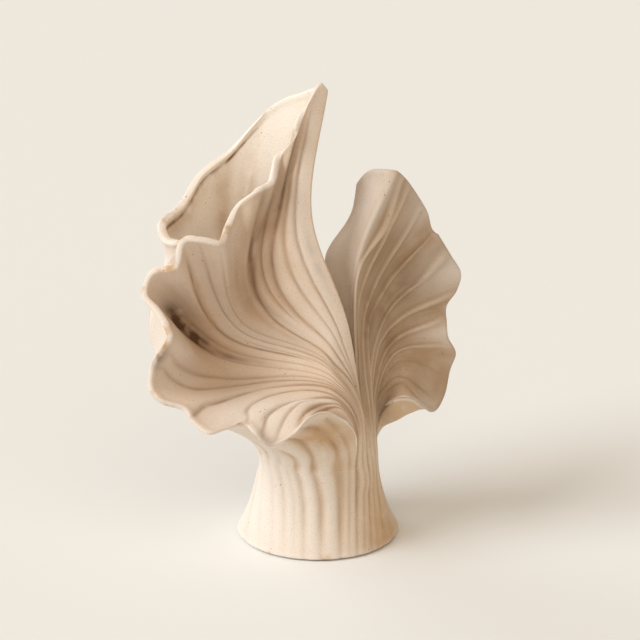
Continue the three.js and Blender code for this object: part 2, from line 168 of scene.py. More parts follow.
LEAF_RIM = [
    (26, 22, 183), (33, 16, 193), (43, 9, 196), (52, 2, 196), (59, 12, 188), (68, 21, 173), (74, 25, 161),
    (76, 23, 151), (81, 18, 147), (90, 25, 131), (97, 28, 118), (95, 30, 106), (88, 30, 94), (88, 26, 84),
    (89, 21, 75), (94, 17, 65), (90, 12, 54), (86, 2, 40), (78, -12, 34), (66, -24, 47), (57, -28, 51),
    (49, -20, 45), (43, 0, 32),
]
LEAF_BELLY = [
    (4, 31, 127), (22, 0, 135), (30, -2, 133), (38, 12, 120), (45, 20, 106), (52, 21, 98), (49, 17, 85),
    (53, 11, 72), (56, 4, 66), (57, -9, 54), (46, -14, 38), (42, 3, 22),
]
LEAF_KNEE = [(23, -13, 62), (29, -17, 68), (36, -13, 55), (40, -8, 38), (41, 6, 11)]
LEAF_BACK_KNEE = [(41, 6, 11), (50, 20, 19), (46, 36, 33), (30, 40, 33), (25, 26, 19)]
LEAF_BACK_BELLY = [
    (42, 3, 22), (58, -4, 27), (70, 12, 36), (76, 32, 69), (68, 40, 103), (58, 46, 133), (44, 44, 143),
    (32, 42, 123), (30, 30, 73), (28, 10, 35),
]
LEAF_EDGE_PULL = 7.0
LEAF_EDGE_SHARE = 0.14
STEM_LEFT = 38.0
STEM_MIDDLE = 56.0
STEM_RIGHT = 100.0
CROTCH = 150.0
BACK_SPREAD = 102.0


def petal_curve(points, share):
    return through(points, share) + np.array([0, 0, WAIST_HEIGHT])


print("points on the horn's rim:", len(HORN_RIM), "and on the leaf's:", len(LEAF_RIM))

# %% [markdown]
# ## Sheets of ribs
# A place on a sheet has two shares: u climbs a rib from waist to rim, and v walks along the rim. A loft of
# curve objects could span such a sheet, but here each place can be asked for by its u and v.
# From here on, most values with two numbers are spans: an effect starts at the first number and is full
# at the second. A PLACE has a middle and a width instead.

# %% Ribs
RIB_PARTS = 3
RUN_IN_FROM = WAIST_HEIGHT - RIB_RUN_IN


def mix(start, end, share):
    return start + (end - start) * share


def hump(share):
    """0 at both ends and 1 in the middle."""
    return 16 * share**2 * (1 - share) ** 2


def run_in(angle):
    """Where the run-in of a rib starts on the foot, and where it ends on the waist."""
    below = ring_point(angle, foot_radius(RUN_IN_FROM), RUN_IN_FROM)
    return below, ring_point(angle, WAIST_RADIUS, WAIST_HEIGHT)


def rib(u, v, angle, knee, belly, rim):
    """A rib over its knee and belly to the rim, with a run-in along the foot."""
    below, start = run_in(angle)
    over = petal_curve(belly, v)
    stops = np.stack([below, start, petal_curve(knee, v), over, rim, 2 * rim - over])
    place = np.clip(u, 0, 1) * RIB_PARTS
    first = np.minimum(place.astype(int), RIB_PARTS - 1)
    part = (place - first)[..., None]
    picked = []
    for step in range(4):
        wanted = np.broadcast_to((first + step)[None, ..., None], (1, *first.shape, 3))
        picked.append(np.take_along_axis(stops, wanted, 0)[0])
    before, start, end, after = picked
    return hermite(start, end, (end - before) / 2, (after - start) / 2, part)


def horn_angle(v):
    return mix(STEM_LEFT, STEM_MIDDLE, v)


def leaf_angle(v):
    return mix(STEM_MIDDLE, STEM_RIGHT, v)


def leaf_back_angle(v):
    return mix(STEM_RIGHT, CROTCH, v)


def horn_back_angle(v):
    return mix(STEM_LEFT, CROTCH - 360, v) - BACK_SPREAD * v * (1 - v)


def horn_front(u, v):
    """Ribs of the horn. Below the knee they are pulled over to the stem."""
    plain = rib(u, v, horn_angle(v), HORN_KNEE, HORN_BELLY, petal_curve(HORN_RIM, v))
    climb = np.clip(RIB_PARTS * u, 0, 1)
    return plain + through(HORN_STEM_PULL, v) * hump(climb)[..., None]


def leaf_front(u, v):
    """Ribs of the leaf. Above the belly the open edge is pulled to the right."""
    plain = rib(u, v, leaf_angle(v), LEAF_KNEE, LEAF_BELLY, petal_curve(LEAF_RIM, v))
    climb = np.clip(RIB_PARTS * u - (RIB_PARTS - 1), 0, 1)
    pull = LEAF_EDGE_PULL * hump(climb) * (1 - ramp(0, LEAF_EDGE_SHARE, v))
    return plain + pull[..., None] * np.array([1, 0, 0])


print("tip of the horn:", horn_front(np.array([1.0]), np.array([1.0])))

# %% [markdown]
# ## Walls and seams
# The wall is thin where the ribs gather at the stem and 4 mm thick at the rim. A back sheet ends inside the
# front sheet's wall, as a potter lutes one sheet to the other.

# %% Walls of the front sheets
WALL = 4.0
STEM_WALL = 1.2
THIN_EDGE = 0.1
THIN_UNTIL = 0.03
FRONT_TAPER = 0.13
EDGE_INSET = 0.02
LIP_TO_DISH = (0.2, 0.5)
THICK_FROM = (0.45, 0.1)
THICKENING = 0.45
STEM_TO_LIP = (0.1, 0.5)
TIP_SPAN = (0.86, 0.97)
TIP_THINNING = 0.5
LEAF_THICKENING = (0.1, 0.6)
LEAF_STEM_SIDE = (0.7, 0.88)


def horn_wall(u, v):
    start = mix(*THICK_FROM, ramp(*LIP_TO_DISH, v))
    spread = ramp(*STEM_TO_LIP, v) * ramp(start, start + THICKENING, u)
    tip = 1 - TIP_THINNING * ramp(*TIP_SPAN, v)
    return mix(STEM_WALL, WALL, spread * tip) * mix(THIN_EDGE, 1, ramp(THIN_UNTIL, FRONT_TAPER, v))


def leaf_wall(u, v):
    spread = ramp(*LEAF_THICKENING, u) * (1 - ramp(*LEAF_STEM_SIDE, v))
    return mix(STEM_WALL, WALL, spread) * mix(1, THIN_EDGE, ramp(1 - FRONT_TAPER, 1 - EDGE_INSET, v))


print("wall at the horn's rim:", horn_wall(1.0, 0.5))

# %% Seams and back sheets
SEAM_AT = 0.95
SEAM_DEPTH = 0.6
LIP_SHARE = 0.5
MOUTH_SHARE = 0.3
LIP_END = 19 / 31
LEAF_RIM_SHARE = 0.7
EDGE_LENGTH = 0.9
SMALL_STEP = 0.002
TINY = 1e-9


def slopes(surface, u, v):
    """Steps along a rib and across the ribs, per unit of u and v."""
    u0, u1 = np.clip(u - SMALL_STEP, 0, 1), np.clip(u + SMALL_STEP, 0, 1)
    v0, v1 = np.clip(v - SMALL_STEP, 0, 1), np.clip(v + SMALL_STEP, 0, 1)
    along = (surface(u1, v) - surface(u0, v)) / (u1 - u0)[..., None]
    across = (surface(u, v1) - surface(u, v0)) / (v1 - v0)[..., None]
    return along, across


def length_of(vectors):
    return np.linalg.norm(vectors, axis=-1)


def square_to(along, across):
    normal = np.cross(along, across)
    return normal / (length_of(normal)[..., None] + TINY)


def seam(surface, wall, u, v):
    """Line inside a front sheet's wall, where the back sheet is luted on."""
    u = u + 0 * v
    v = v + 0 * u
    normal = square_to(*slopes(surface, u, v))
    return surface(u, v) + normal * (SEAM_DEPTH * wall(u, v))[..., None]


def horn_back_rim(v):
    """Along the lip, over the mouth's back rim and down the horn's last rib."""
    lip = seam(horn_front, horn_wall, SEAM_AT, np.clip(v / LIP_SHARE, 0, 1) * LIP_END)
    mouth = petal_curve(MOUTH_BACK_RIM, (v - LIP_SHARE) / MOUTH_SHARE)
    down = np.clip((v - LIP_SHARE - MOUTH_SHARE) / (1 - LIP_SHARE - MOUTH_SHARE), 0, 1)
    edge = seam(horn_front, horn_wall, SEAM_AT - EDGE_LENGTH * down, 1 - EDGE_INSET)
    upper = np.where((v <= LIP_SHARE + MOUTH_SHARE)[..., None], mouth, edge)
    return np.where((v < LIP_SHARE)[..., None], lip, upper)


def leaf_back_rim(v):
    """Along the leaf's rim from its lower lip to its top, and down its first rib."""
    over = seam(leaf_front, leaf_wall, SEAM_AT, mix(1, EDGE_INSET, np.clip(v / LEAF_RIM_SHARE, 0, 1)))
    down = np.clip((v - LEAF_RIM_SHARE) / (1 - LEAF_RIM_SHARE), 0, 1)
    edge = seam(leaf_front, leaf_wall, SEAM_AT - EDGE_LENGTH * down, EDGE_INSET)
    return np.where((v < LEAF_RIM_SHARE)[..., None], over, edge)


def horn_back(u, v):
    return rib(u, v, horn_back_angle(v), HORN_BACK_KNEE, HORN_BACK_BELLY, horn_back_rim(v))


def leaf_back(u, v):
    return rib(u, v, leaf_back_angle(v), LEAF_BACK_KNEE, LEAF_BACK_BELLY, leaf_back_rim(v))


print("back rim, after the lip:", horn_back_rim(np.array([LIP_SHARE])))

# %% [markdown]
# ## Carved grooves and raised ribs
# A potter draws each groove with a loop tool, so no two are alike. Each cut has a depth and a width in
# millimetres, and the v that it passes at a few heights u, both in thousandths. A negative depth raises
# a rib. Displacement by an image would be quicker, but it would tie the ribs to a picture; a line in the
# sheet's own u and v follows the fan.

# %% Cuts of the horn and the leaf
HORN_CUTS = [
    (1.5, 1.5, {100: 945, 250: 934, 450: 937, 600: 945, 750: 945, 930: 938}),
    (1.4, 1.5, {100: 925, 250: 912, 350: 900, 450: 890, 550: 893, 650: 903, 750: 908, 900: 905}),
    (2.2, 1.8, {100: 907, 200: 895, 300: 865, 380: 845, 450: 835, 550: 843, 650: 857, 750: 865, 850: 872,
                980: 882}),
    (1.2, 1.3, {500: 822, 580: 828, 660: 833, 760: 832, 880: 830}),
    (2.4, 2.0, {120: 885, 200: 868, 270: 830, 330: 790, 400: 770, 470: 765, 550: 775, 610: 790, 680: 797,
                780: 797, 870: 790, 990: 790}),
    (2.0, 6.0, {450: 735, 600: 745, 750: 757, 980: 765}),
    (0.8, 1.4, {150: 720, 400: 705, 600: 682, 750: 674, 930: 671}),
    (1.2, 1.6, {150: 680, 400: 665, 580: 646, 700: 640, 820: 637, 970: 640}),
    (2.2, 1.7, {450: 600, 600: 586, 740: 583, 800: 588, 860: 595, 950: 603}),
    (0.9, 1.4, {150: 625, 450: 620, 620: 612}),
    (3.0, 7.0, {550: 535, 700: 528, 800: 520, 900: 503, 980: 487}),
    (1.0, 1.3, {150: 560, 450: 548, 650: 540, 800: 535, 900: 520}),
    (0.9, 1.3, {150: 500, 450: 497, 650: 500, 800: 505, 900: 490}),
    (1.1, 1.6, {150: 450, 500: 447, 560: 437, 620: 429, 700: 420, 800: 415, 860: 420, 950: 434}),
    (1.5, 1.7, {150: 410, 500: 415, 580: 405, 640: 390, 700: 376, 770: 370, 830: 375, 880: 390,
                950: 415}),
    (2.4, 1.9, {150: 370, 450: 370, 550: 345, 600: 328, 660: 308, 740: 304, 820: 307, 900: 312,
                990: 303}),
    (1.6, 1.6, {150: 290, 400: 275, 550: 254, 700: 242, 780: 243, 840: 232, 900: 210, 980: 190}),
    (2.6, 2.0, {150: 225, 400: 200, 550: 172, 680: 167, 780: 172, 850: 172, 930: 160, 1000: 147}),
    (1.4, 1.4, {550: 140, 700: 136, 780: 136, 860: 133, 970: 126}),
    (1.8, 1.6, {150: 180, 360: 165, 420: 145, 500: 118, 580: 103, 680: 96, 780: 98, 900: 97}),
    (1.4, 1.4, {150: 150, 360: 140, 420: 122, 500: 100, 600: 82, 700: 75, 820: 72}),
]
LEAF_CUTS = [
    (-3.0, 2.8, {100: 130, 500: 140, 600: 145, 650: 158, 700: 175, 760: 190, 820: 195, 900: 178,
                 1000: 155}),
    (-2.0, 1.8, {120: 210, 400: 190, 500: 180, 580: 200, 650: 215, 750: 220, 850: 207, 990: 190}),
    (-2.8, 2.2, {100: 400, 270: 370, 300: 335, 350: 300, 400: 270, 450: 257, 500: 256, 550: 268, 600: 280,
                 700: 286, 780: 278, 870: 262, 990: 238}),
    (-3.0, 2.4, {100: 500, 280: 485, 330: 455, 370: 400, 410: 350, 460: 320, 510: 313, 580: 330, 650: 345,
                 750: 346, 850: 345, 980: 340}),
    (-3.0, 2.4, {300: 480, 370: 440, 430: 427, 500: 430, 600: 441, 700: 445, 800: 431, 900: 410,
                 990: 395}),
    (-2.8, 2.4, {150: 560, 350: 500, 430: 490, 500: 512, 560: 542, 620: 551, 700: 552, 800: 536, 900: 520,
                 980: 507}),
    (-2.8, 2.4, {150: 620, 300: 605, 400: 609, 500: 606, 600: 610, 750: 605, 860: 594, 970: 578}),
    (-2.0, 2.6, {150: 690, 400: 680, 600: 675, 800: 668, 950: 660}),
    (1.3, 1.5, {300: 700, 500: 722, 600: 735, 700: 740, 800: 735, 930: 741}),
    (1.8, 1.7, {120: 740, 300: 737, 360: 745, 420: 757, 500: 770, 580: 787, 660: 800, 760: 801,
                900: 795}),
    (1.4, 1.5, {450: 805, 600: 822, 700: 828, 820: 831, 970: 830}),
]
HOOD_CUTS = [
    (0.8, 2.0, {40: 17, 450: 27, 770: 28, 940: 35}),
    (1.7, 2.4, {50: 53.5, 200: 56, 500: 58, 780: 56, 970: 70}),
    (1.5, 2.8, {50: 127.5, 150: 132, 300: 133, 450: 128, 600: 125, 660: 132}),
    (1.1, 3.0, {50: 181, 150: 187, 250: 195, 360: 212}),
    (0.8, 3.0, {60: 289, 200: 294, 450: 296, 800: 297}),
    (0.8, 2.6, {50: 333, 400: 342, 800: 356}),
    (1.1, 2.8, {50: 395, 450: 407, 850: 430}),
    (0.9, 2.6, {50: 478, 450: 492, 800: 520}),
    (1.2, 2.8, {50: 570, 450: 580, 880: 600}),
    (0.8, 2.4, {200: 625, 450: 632, 750: 640}),
    (1.1, 2.8, {50: 668, 450: 682, 900: 690}),
    (1.0, 2.6, {50: 775, 450: 770, 850: 755}),
    (0.8, 2.4, {80: 884, 450: 860, 700: 840}),
]
LEAF_BACK_CUTS = [
    (0.7, 2.4, {60: 60, 450: 110, 750: 170}),
    (0.9, 2.4, {200: 250, 450: 290, 820: 350}),
    (1.1, 2.6, {50: 440, 450: 465, 850: 490}),
    (0.8, 2.4, {200: 640, 500: 630, 800: 610}),
    (1.0, 2.4, {50: 860, 450: 815, 750: 750}),
]
print("cuts in the horn:", len(HORN_CUTS), "and in the leaf:", len(LEAF_CUTS))

# %% Carving
THOUSANDTHS = 1000
CUT_DEPTH = 1.5
CUT_WIDTH = 1.4
CUT_FADE = 0.06
RIB_ROOM = 420.0
LEAST_ROOM = 0.3
BROAD = 4.0
BROAD_END = (0.72, 0.95)
ROUND_PART = 0.55
FLANK_PART = 0.45
FLANK_REACH = 1.6
# Painted shade in the grooves and in the ditches beside raised ribs: how narrow it is, and where it is
# darkest.
SHADE_SHARPNESS = 3
FULL_SHADE_DEPTH = 2.0
DITCH_PLACE = (1.5, 0.7)
DITCH_DEPTH = 0.35
DITCH_SHADE = 0.35
RIM_EASE = 0.65
RIM_EASE_SPAN = (0.78, 0.96)


def bell(value, middle, width):
    """1 at the middle, falling off softly on both sides."""
    return np.exp(-(((value - middle) / width) ** 2))


def groove_profile(off):
    """Cross-section of a groove: round at the bottom, with long flanks."""
    return ROUND_PART * np.exp(-off * off) + FLANK_PART * np.exp(-off / FLANK_REACH)


def carve(cuts, u, v, along, across):
    """Depth of all cuts, and how dark the painted shade in them is, from 0 to 1.
    Broad hollows add up. Of narrow cuts, and of narrow ribs, the strongest one counts."""
    hollow, groove, raised, ditch, groove_shade = np.zeros((5, *u.shape))
    room = np.clip(length_of(across) / RIB_ROOM, LEAST_ROOM, 1)
    for deep, wide, places in cuts:
        line = np.array(list(places.items())) / THOUSANDTHS
        place = bend(line, u)
        lean = (bend(line, u + SMALL_STEP) - place) / SMALL_STEP
        run = along + across * lean[..., None]
        reach = length_of(np.cross(across, run)) / (length_of(run) + TINY)
        off = np.abs(v - place) * reach / (wide * CUT_WIDTH * room)
        first, last = line[0, 0], line[-1, 0]
        begun = ramp(first - CUT_FADE, first + CUT_FADE, u)
        ends = begun * (1 - ramp(last - CUT_FADE, last + CUT_FADE, u))
        amount = abs(deep) * room * ends * groove_profile(off)
        if wide > BROAD:
            hollow = hollow + amount * (1 - ramp(*BROAD_END, u))
        elif deep < 0:
            raised = np.maximum(raised, amount)
            beside = ends * bell(off, *DITCH_PLACE)
            ditch = np.maximum(ditch, DITCH_DEPTH * abs(deep) * room * beside)
            groove_shade = np.maximum(groove_shade, DITCH_SHADE * beside)
        else:
            groove = np.maximum(groove, amount)
            dark = np.exp(-off * off * SHADE_SHARPNESS) * min(deep / FULL_SHADE_DEPTH, 1.0)
            groove_shade = np.maximum(groove_shade, ends * dark)
    narrow = groove + ditch * (1 - ramp(0, 1, raised)) - raised
    return hollow + CUT_DEPTH * narrow * (1 - RIM_EASE * ramp(*RIM_EASE_SPAN, u)), groove_shade


print("depth of a groove, one width off:", groove_profile(1.0))

# %% [markdown]
# ## Flutes of the foot
# Broad flutes run up the foot and on under the petals. They are set at uneven angles, wide and
# soft on the left and close together under the stem. Each has an angle, a depth and a width.

# %% Flutes round the foot
FOOT_CUTS = [
    (-150, 1.4, 3.0), (-128, 1.5, 3.0), (-106, 1.2, 3.0), (-84, 1.1, 3.0), (-64, 0.6, 2.8), (-46, 0.6, 2.6),
    (-33, 1.0, 2.8), (-22, 0.6, 2.2), (-13, 1.8, 3.0), (4, 2.2, 3.2), (23, 2.5, 2.8), (32, 0.8, 1.8),
    (40, 1.4, 1.6), (49, 0.8, 1.2), (57, 1.2, 1.4), (65, 0.7, 1.4), (75, 1.1, 1.8), (88, 0.9, 2.2),
    (103, 1.0, 2.4), (122, 1.2, 2.6), (143, 1.2, 2.8), (166, 1.3, 2.8), (188, 1.3, 3.0),
]
STEM_FLUTES = (36, 82)
# Painted shade in the flutes, darkest in the flutes under the stem.
STEM_FLUTE_SHADE = 1.0
FLUTE_SHADE = 0.42
FLUTE_SHARPNESS = 1.6
FULL_FLUTE_DEPTH = 1.5
FRONT_END = (50, 110)
HOOD_LEFT = (-90, -40)
HOOD_RIGHT = (0, 34)
HOOD_LEAN = 8.0
LEAN_FROM = 28.0


def wrapped(angle):
    """The same direction as an angle from -180 to 180 degrees."""
    return (angle + 180) % 360 - 180


def foot_flute(angle):
    """How far the foot stands out at an angle, and the painted shade in its flutes."""
    rise = np.full_like(angle, FLUTE_RISE)
    groove_shade = np.zeros_like(angle)
    for at, deep, wide in FOOT_CUTS:
        off = np.radians(np.abs(wrapped(angle - at))) * WAIST_RADIUS / wide
        rise = rise - deep * groove_profile(off)
        darkness = STEM_FLUTE_SHADE if STEM_FLUTES[0] < at < STEM_FLUTES[1] else FLUTE_SHADE
        dark = np.exp(-off * off * FLUTE_SHARPNESS) * darkness
        groove_shade = np.maximum(groove_shade, dark * min(deep / FULL_FLUTE_DEPTH, 1.0))
    return rise, groove_shade


def flute_angle(angle, height):
    """Angle of the flute that passes a place. In front the flutes hang straight down, and under the hood
    they lean to the left, into its arcs."""
    front = 1 - ramp(*FRONT_END, np.abs(angle))
    straight = angle * (1 + (foot_radius(height) / WAIST_RADIUS - 1) * front)
    below_hood = ramp(*HOOD_LEFT, angle) * (1 - ramp(*HOOD_RIGHT, angle))
    climb = np.clip((height - LEAN_FROM) / (WAIST_HEIGHT - LEAN_FROM), 0, 1)
    return straight + HOOD_LEAN * below_hood * climb**2


print("flutes round the foot:", len(FOOT_CUTS))

# %% Tone of the foot
# Paler ridges and darker flutes are painted highlight and painted shade.
CREST_RISE = 2.0
TAN_SIDE = 62.0
TAN_REACH = 30.0
TAN_STRENGTH = 0.75
COLOURED_END = (30, 75)
WHITE_SIDE = 0.45
PALE_LEVEL = 0.2


def foot_tone(angle, rise):
    """How pale the flutes are painted, from -1 to 1, as painted highlight on the ridges and painted shade
    in the flutes, and how tan the foot is below the stem.
    """
    away = wrapped(angle - TAN_SIDE)
    coloured = mix(WHITE_SIDE, 1, 1 - ramp(*COLOURED_END, np.abs(away)))
    crest = np.clip((rise - FLUTE_RISE / 2) / CREST_RISE, -1, 1)
    return mix(PALE_LEVEL, crest, coloured), TAN_STRENGTH * bell(away, 0, TAN_REACH)


print("paleness and tan in front:", *foot_tone(0.0, FLUTE_RISE))

# %% [markdown]
# ## From a flat grid to a sheet with two faces
# A grid is the natural start for a sheet: every vertex has its own u and v. The face takes the carved
# surface, a second copy takes the inner wall, and both close on a half-round rim. Solidify could give the
# wall, but it keeps one thickness and leaves a square rim.

# %% Grids and layers
RIM_ROWS = 6
EDGE_COLUMNS = 3
LONGEST_ROUND_U = 0.08
LONGEST_ROUND_V = 0.02
SHARP_ANGLE = math.radians(70)


def quarter(steps, count, last):
    """Angle of the round rim at each grid step: 0 on the flat, a right angle on the border."""
    return np.clip((steps - (last - count)) / count, 0, 1) * (math.pi / 2)


def grid_mesh(columns, rows):
    """A flat grid, with the column and the row of each vertex."""
    sheet = bmesh.new()
    bmesh.ops.create_grid(sheet, x_segments=columns, y_segments=rows, size=0.5)
    flat = np.array([vertex.co[:2] for vertex in sheet.verts]) + 0.5
    steps = np.rint(flat * np.array([columns, rows]))
    return sheet, steps[:, 0], steps[:, 1]


def sheet_shares(surface, wall, free, column, row, columns, rows):
    """u and v of each grid vertex, with close rows and columns on the rounded border."""
    left = quarter(columns - column, EDGE_COLUMNS, columns) * free[0]
    right = quarter(column, EDGE_COLUMNS, columns) * free[1]
    top = quarter(row, RIM_ROWS, rows)
    first = EDGE_COLUMNS * free[0]
    v = np.clip((column - first) / (columns - EDGE_COLUMNS * sum(free)), 0, 1)
    u = np.clip(row / (rows - RIM_ROWS), 0, 1)
    along, across = slopes(surface, u, v)
    half_wall = wall(u, v) / 2
    round_u = np.clip(half_wall / length_of(along), 0, LONGEST_ROUND_U)
    round_v = np.clip(half_wall / length_of(across), 0, LONGEST_ROUND_V)
    u = u * (1 - round_u) + round_u * np.sin(top)
    v = round_v * free[0] + v * (1 - round_v * sum(free)) + round_v * (np.sin(right) - np.sin(left))
    flatness = np.cos(top) * np.cos(left) * np.cos(right)
    return u, v, flatness


def place_vertices(vertices, places):
    for vertex, place in zip(vertices, places * MM):
        vertex.co = place


def write_layers(sheet, vertices, layers):
    """Keeps named numbers with the vertices, for the materials to read."""
    floats = sheet.verts.layers.float
    for name, values in layers.items():
        layer = floats.get(name) or floats.new(name)
        for vertex, value in zip(vertices, values):
            vertex[layer] = value


def only(kind, items):
    """The vertices, or the faces, of a mixed list."""
    return [item for item in items if isinstance(item, kind)]


def finish_mesh(name, sheet):
    mesh = bpy.data.meshes.new(name)
    sheet.to_mesh(mesh)
    sheet.free()
    mesh.shade_smooth()
    mesh.set_sharp_from_angle(angle=SHARP_ANGLE)
    piece = bpy.data.objects.new(name, mesh)
    bpy.context.scene.collection.objects.link(piece)
    triangles = sum(len(face.vertices) - 2 for face in mesh.polygons)
    print(name, "has", triangles, "triangles")
    return piece


print("rows on the rounded rim:", RIM_ROWS)

# %% Sheet builder
BEAD_RISE = 0.8
BEAD_PLACE = (2.5, 2.2)
TUCK = 0.06
FACE_RUN_IN = 0.09
BACK_TAPER = 0.03
TAPER_START = 0.3
OUTER_ROOT = (0.02, 0.2)
OUTER_FIRST = 0.05
OUTER_LAST = 0.94
DEEPEST = 9.0
CUT_AT_SEAM = 0.4
SEAM_SPAN = (0.75, 0.92)
FOLLOW_UNTIL = 0.8
NOWHERE = 2.0
EVERYWHERE = -1.0
MOUTH_FROM = 0.6
MOUTH_FADE = 0.05
WELD = 1e-6


def no_bead(u, v, from_rim):
    return 0 * u, 0 * u


def patches_at(patches, u, v):
    """Strength of the strongest patch: each has a middle and a reach in u and v, and a strength."""
    strongest = np.zeros_like(u)
    for *places, strength in patches:
        middle_u, middle_v, reach_u, reach_v = np.array(places) / THOUSANDTHS
        patch = strength * bell(u, middle_u, reach_u) * bell(v, middle_v, reach_v)
        strongest = np.maximum(strongest, patch)
    return strongest


def build_sheet(
    name, surface, wall, side, free, relief, columns, rows,
    inner=no_bead, face_toast=(), inner_toast=(), face_light=(), mouth_from=NOWHERE,
):
    """A closed sheet of clay. side +1 puts the wall along the surface's own normal.
    free tells for the first and the last rib whether it is an open edge, 1, or lies in a seam, 0.
    The reverse is painted pale, as painted light inside the mouth, from the rib mouth_from on."""
    sheet, column, row = grid_mesh(columns, rows)
    u, v, flatness = sheet_shares(surface, wall, free, column, row, columns, rows)
    along, across = slopes(surface, u, v)
    normal = square_to(along, across) * side
    outward, depth, groove_shade, flute, tan = relief(u, v, along, across)
    base = surface(u, v) + outward
    tuck = ramp(0, TUCK, u)
    thick = wall(u, v) * tuck
    outer = 1 - ramp(*OUTER_ROOT, u)
    taper = FACE_RUN_IN if sum(free) else BACK_TAPER
    if not free[0]:
        tuck = tuck * ramp(TAPER_START * taper, taper, v)
        outer = np.maximum(outer, 1 - ramp(0, OUTER_FIRST, v))
    if not free[1]:
        tuck = tuck * (1 - ramp(1 - taper, 1 - TAPER_START * taper, v))
        outer = np.maximum(outer, ramp(OUTER_LAST, 1, v))
    from_rim = (1 - u) * length_of(along)
    lift, inner_shade = inner(u, v, from_rim)
    crest = np.clip(flute - depth / CREST_RISE, -1, 1)
    shallow = mix(DEEPEST, CUT_AT_SEAM * thick, ramp(*SEAM_SPAN, u))
    bead = BEAD_RISE * bell(from_rim, *BEAD_PLACE)
    depth = (np.minimum(depth, shallow) - bead) * tuck
    rounding = thick / 2 * (1 - flatness)
    face = base + normal * (depth * flatness + rounding)[..., None]
    follow = np.maximum(depth, 0) * (1 - ramp(FOLLOW_UNTIL, 1, u))
    back = base + normal * (thick + (tuck * lift + follow) * flatness - rounding)[..., None]
    # Painted light: the inside of the mouth is painted paler.
    in_mouth = flatness * tuck * ramp(mouth_from, mouth_from + MOUTH_FADE, v)
    face_layers = {
        "groove_shade": groove_shade, "rim": from_rim, "u": u, "v": v, "inside": 0 * u, "crest": crest, "outer": outer,
        "tan": tan, "toast": patches_at(face_toast, u, v), "painted_light": patches_at(face_light, u, v),
    }
    back_layers = {
        "inside": in_mouth, "groove_shade": inner_shade, "toast": patches_at(inner_toast, u, v), "crest": 0 * u,
    }
    write_layers(sheet, sheet.verts, face_layers)
    copy = bmesh.ops.duplicate(sheet, geom=sheet.verts[:] + sheet.edges[:] + sheet.faces[:])
    second = only(bmesh.types.BMVert, copy["geom"])
    order = {vertex: index for index, vertex in enumerate(sheet.verts)}
    source = [order[copy["vert_map"][vertex]] for vertex in second]
    place_vertices(sheet.verts[: len(face)], face)
    place_vertices(second, back[source])
    write_layers(sheet, second, {key: values[source] for key, values in back_layers.items()})
    bmesh.ops.reverse_faces(sheet, faces=only(bmesh.types.BMFace, copy["geom"]))
    bmesh.ops.remove_doubles(sheet, verts=sheet.verts[:], dist=WELD)
    bmesh.ops.recalc_face_normals(sheet, faces=sheet.faces[:])
    return finish_mesh(name, sheet)


print("the sheet builder is ready")

# %% [markdown]
# ## The four sheets
# The front sheets are carved on the face that looks at us. On the back sheets the foot's flutes carry on
# and fade out towards the rim, between a few broad grooves.

# %% Reliefs
FLUTES_UNTIL = 0.3
CUTS_FROM = 0.1
STEM_TAN = 0.75
BEHIND = (0.2, 0.35)
CROTCH_FROM = 0.88
FADE_FROM = 0.5
FADE_UNTIL = (0.3, 0.95)
LIP_TAN = 0.8
LIP_TAN_SIDE = (0.05, 0.4)
LIP_TAN_CLIMB = (0.15, 0.6)


def sheet_relief(angle, flute_at, share, cuts, start, u, v, along, across):
    """Way out of the flutes, depth of the cuts, painted shade in the grooves, painted paleness of the
    flutes and tan below the stem. share is how much of the foot's flutes is left at a place, and start how
    much of the cuts there is."""
    rise, foot_shade = foot_flute(flute_at)
    depth, groove_shade = carve(cuts, u, v, along, across)
    flute, tan = foot_tone(angle, rise)
    dark = np.maximum(groove_shade * start, foot_shade * share)
    return ring_point(angle, rise * share, 0), depth * start, dark, flute * share, tan


def front_relief(rib_angle, cuts, u, v, along, across):
    angle = rib_angle(v)
    share = 1 - ramp(0, FLUTES_UNTIL, u)
    start = ramp(0, CUTS_FROM, u)
    *parts, tan = sheet_relief(angle, angle, share, cuts, start, u, v, along, across)
    return *parts, STEM_TAN * tan * share


def flute_share(u, v):
    """Flutes fade soon beside the front sheets and late behind."""
    middle = ramp(*BEHIND, v) * (1 - ramp(CROTCH_FROM, 1, v))
    return 1 - ramp(FADE_FROM * middle, mix(*FADE_UNTIL, middle), u)


def horn_back_relief(u, v, along, across):
    angle = horn_back_angle(v)
    flute_at = flute_angle(angle, WAIST_HEIGHT)
    return sheet_relief(angle, flute_at, flute_share(u, v), HOOD_CUTS, 1, u, v, along, across)


def leaf_back_relief(u, v, along, across):
    angle = leaf_back_angle(v)
    share = flute_share(u, v)
    *parts, tan = sheet_relief(angle, angle, share, LEAF_BACK_CUTS, 1, u, v, along, across)
    lip_tan = LIP_TAN * (1 - ramp(*LIP_TAN_SIDE, v)) * ramp(*LIP_TAN_CLIMB, u)
    return *parts, np.maximum(tan * share, lip_tan)


print("flutes left halfway up:", flute_share(0.5, 0.6))

# %% Walls of the back sheets and the mouth's rolled rim
LUTED_THINNING = 0.9
LIP_LUTED = (LIP_SHARE - 0.01, LIP_SHARE + 0.02)
EDGE_LUTED = (0.78, 0.82)
HORN_LUTING = (0.6, 0.95)
LEAF_LUTING = (0.5, 0.9)
ROLL_START = (LIP_SHARE, LIP_SHARE + 0.03)
ROLL_END = (0.74, 0.8)
ROLL_RISE = 1.5
ROLL_PLACE = (2.6, 2.3)
CREASE_END = (0.64, 0.72)
CREASE_PLACE = (6.6, 1.0)
CREASE_DEPTH = 1.2
CREASE_SHADE = 1.8


def back_wall(luted, v):
    """Thin where the sheet is luted on, and closed at its first and last ribs."""
    ends = ramp(0, BACK_TAPER, v) * (1 - ramp(1 - BACK_TAPER, 1, v))
    return WALL * (1 - LUTED_THINNING * luted) * ends


def horn_back_wall(u, v):
    luted = np.maximum(1 - ramp(*LIP_LUTED, v), ramp(*EDGE_LUTED, v))
    return back_wall(ramp(*HORN_LUTING, u) * luted, v)


def leaf_back_wall(u, v):
    return back_wall(ramp(*LEAF_LUTING, u), v)


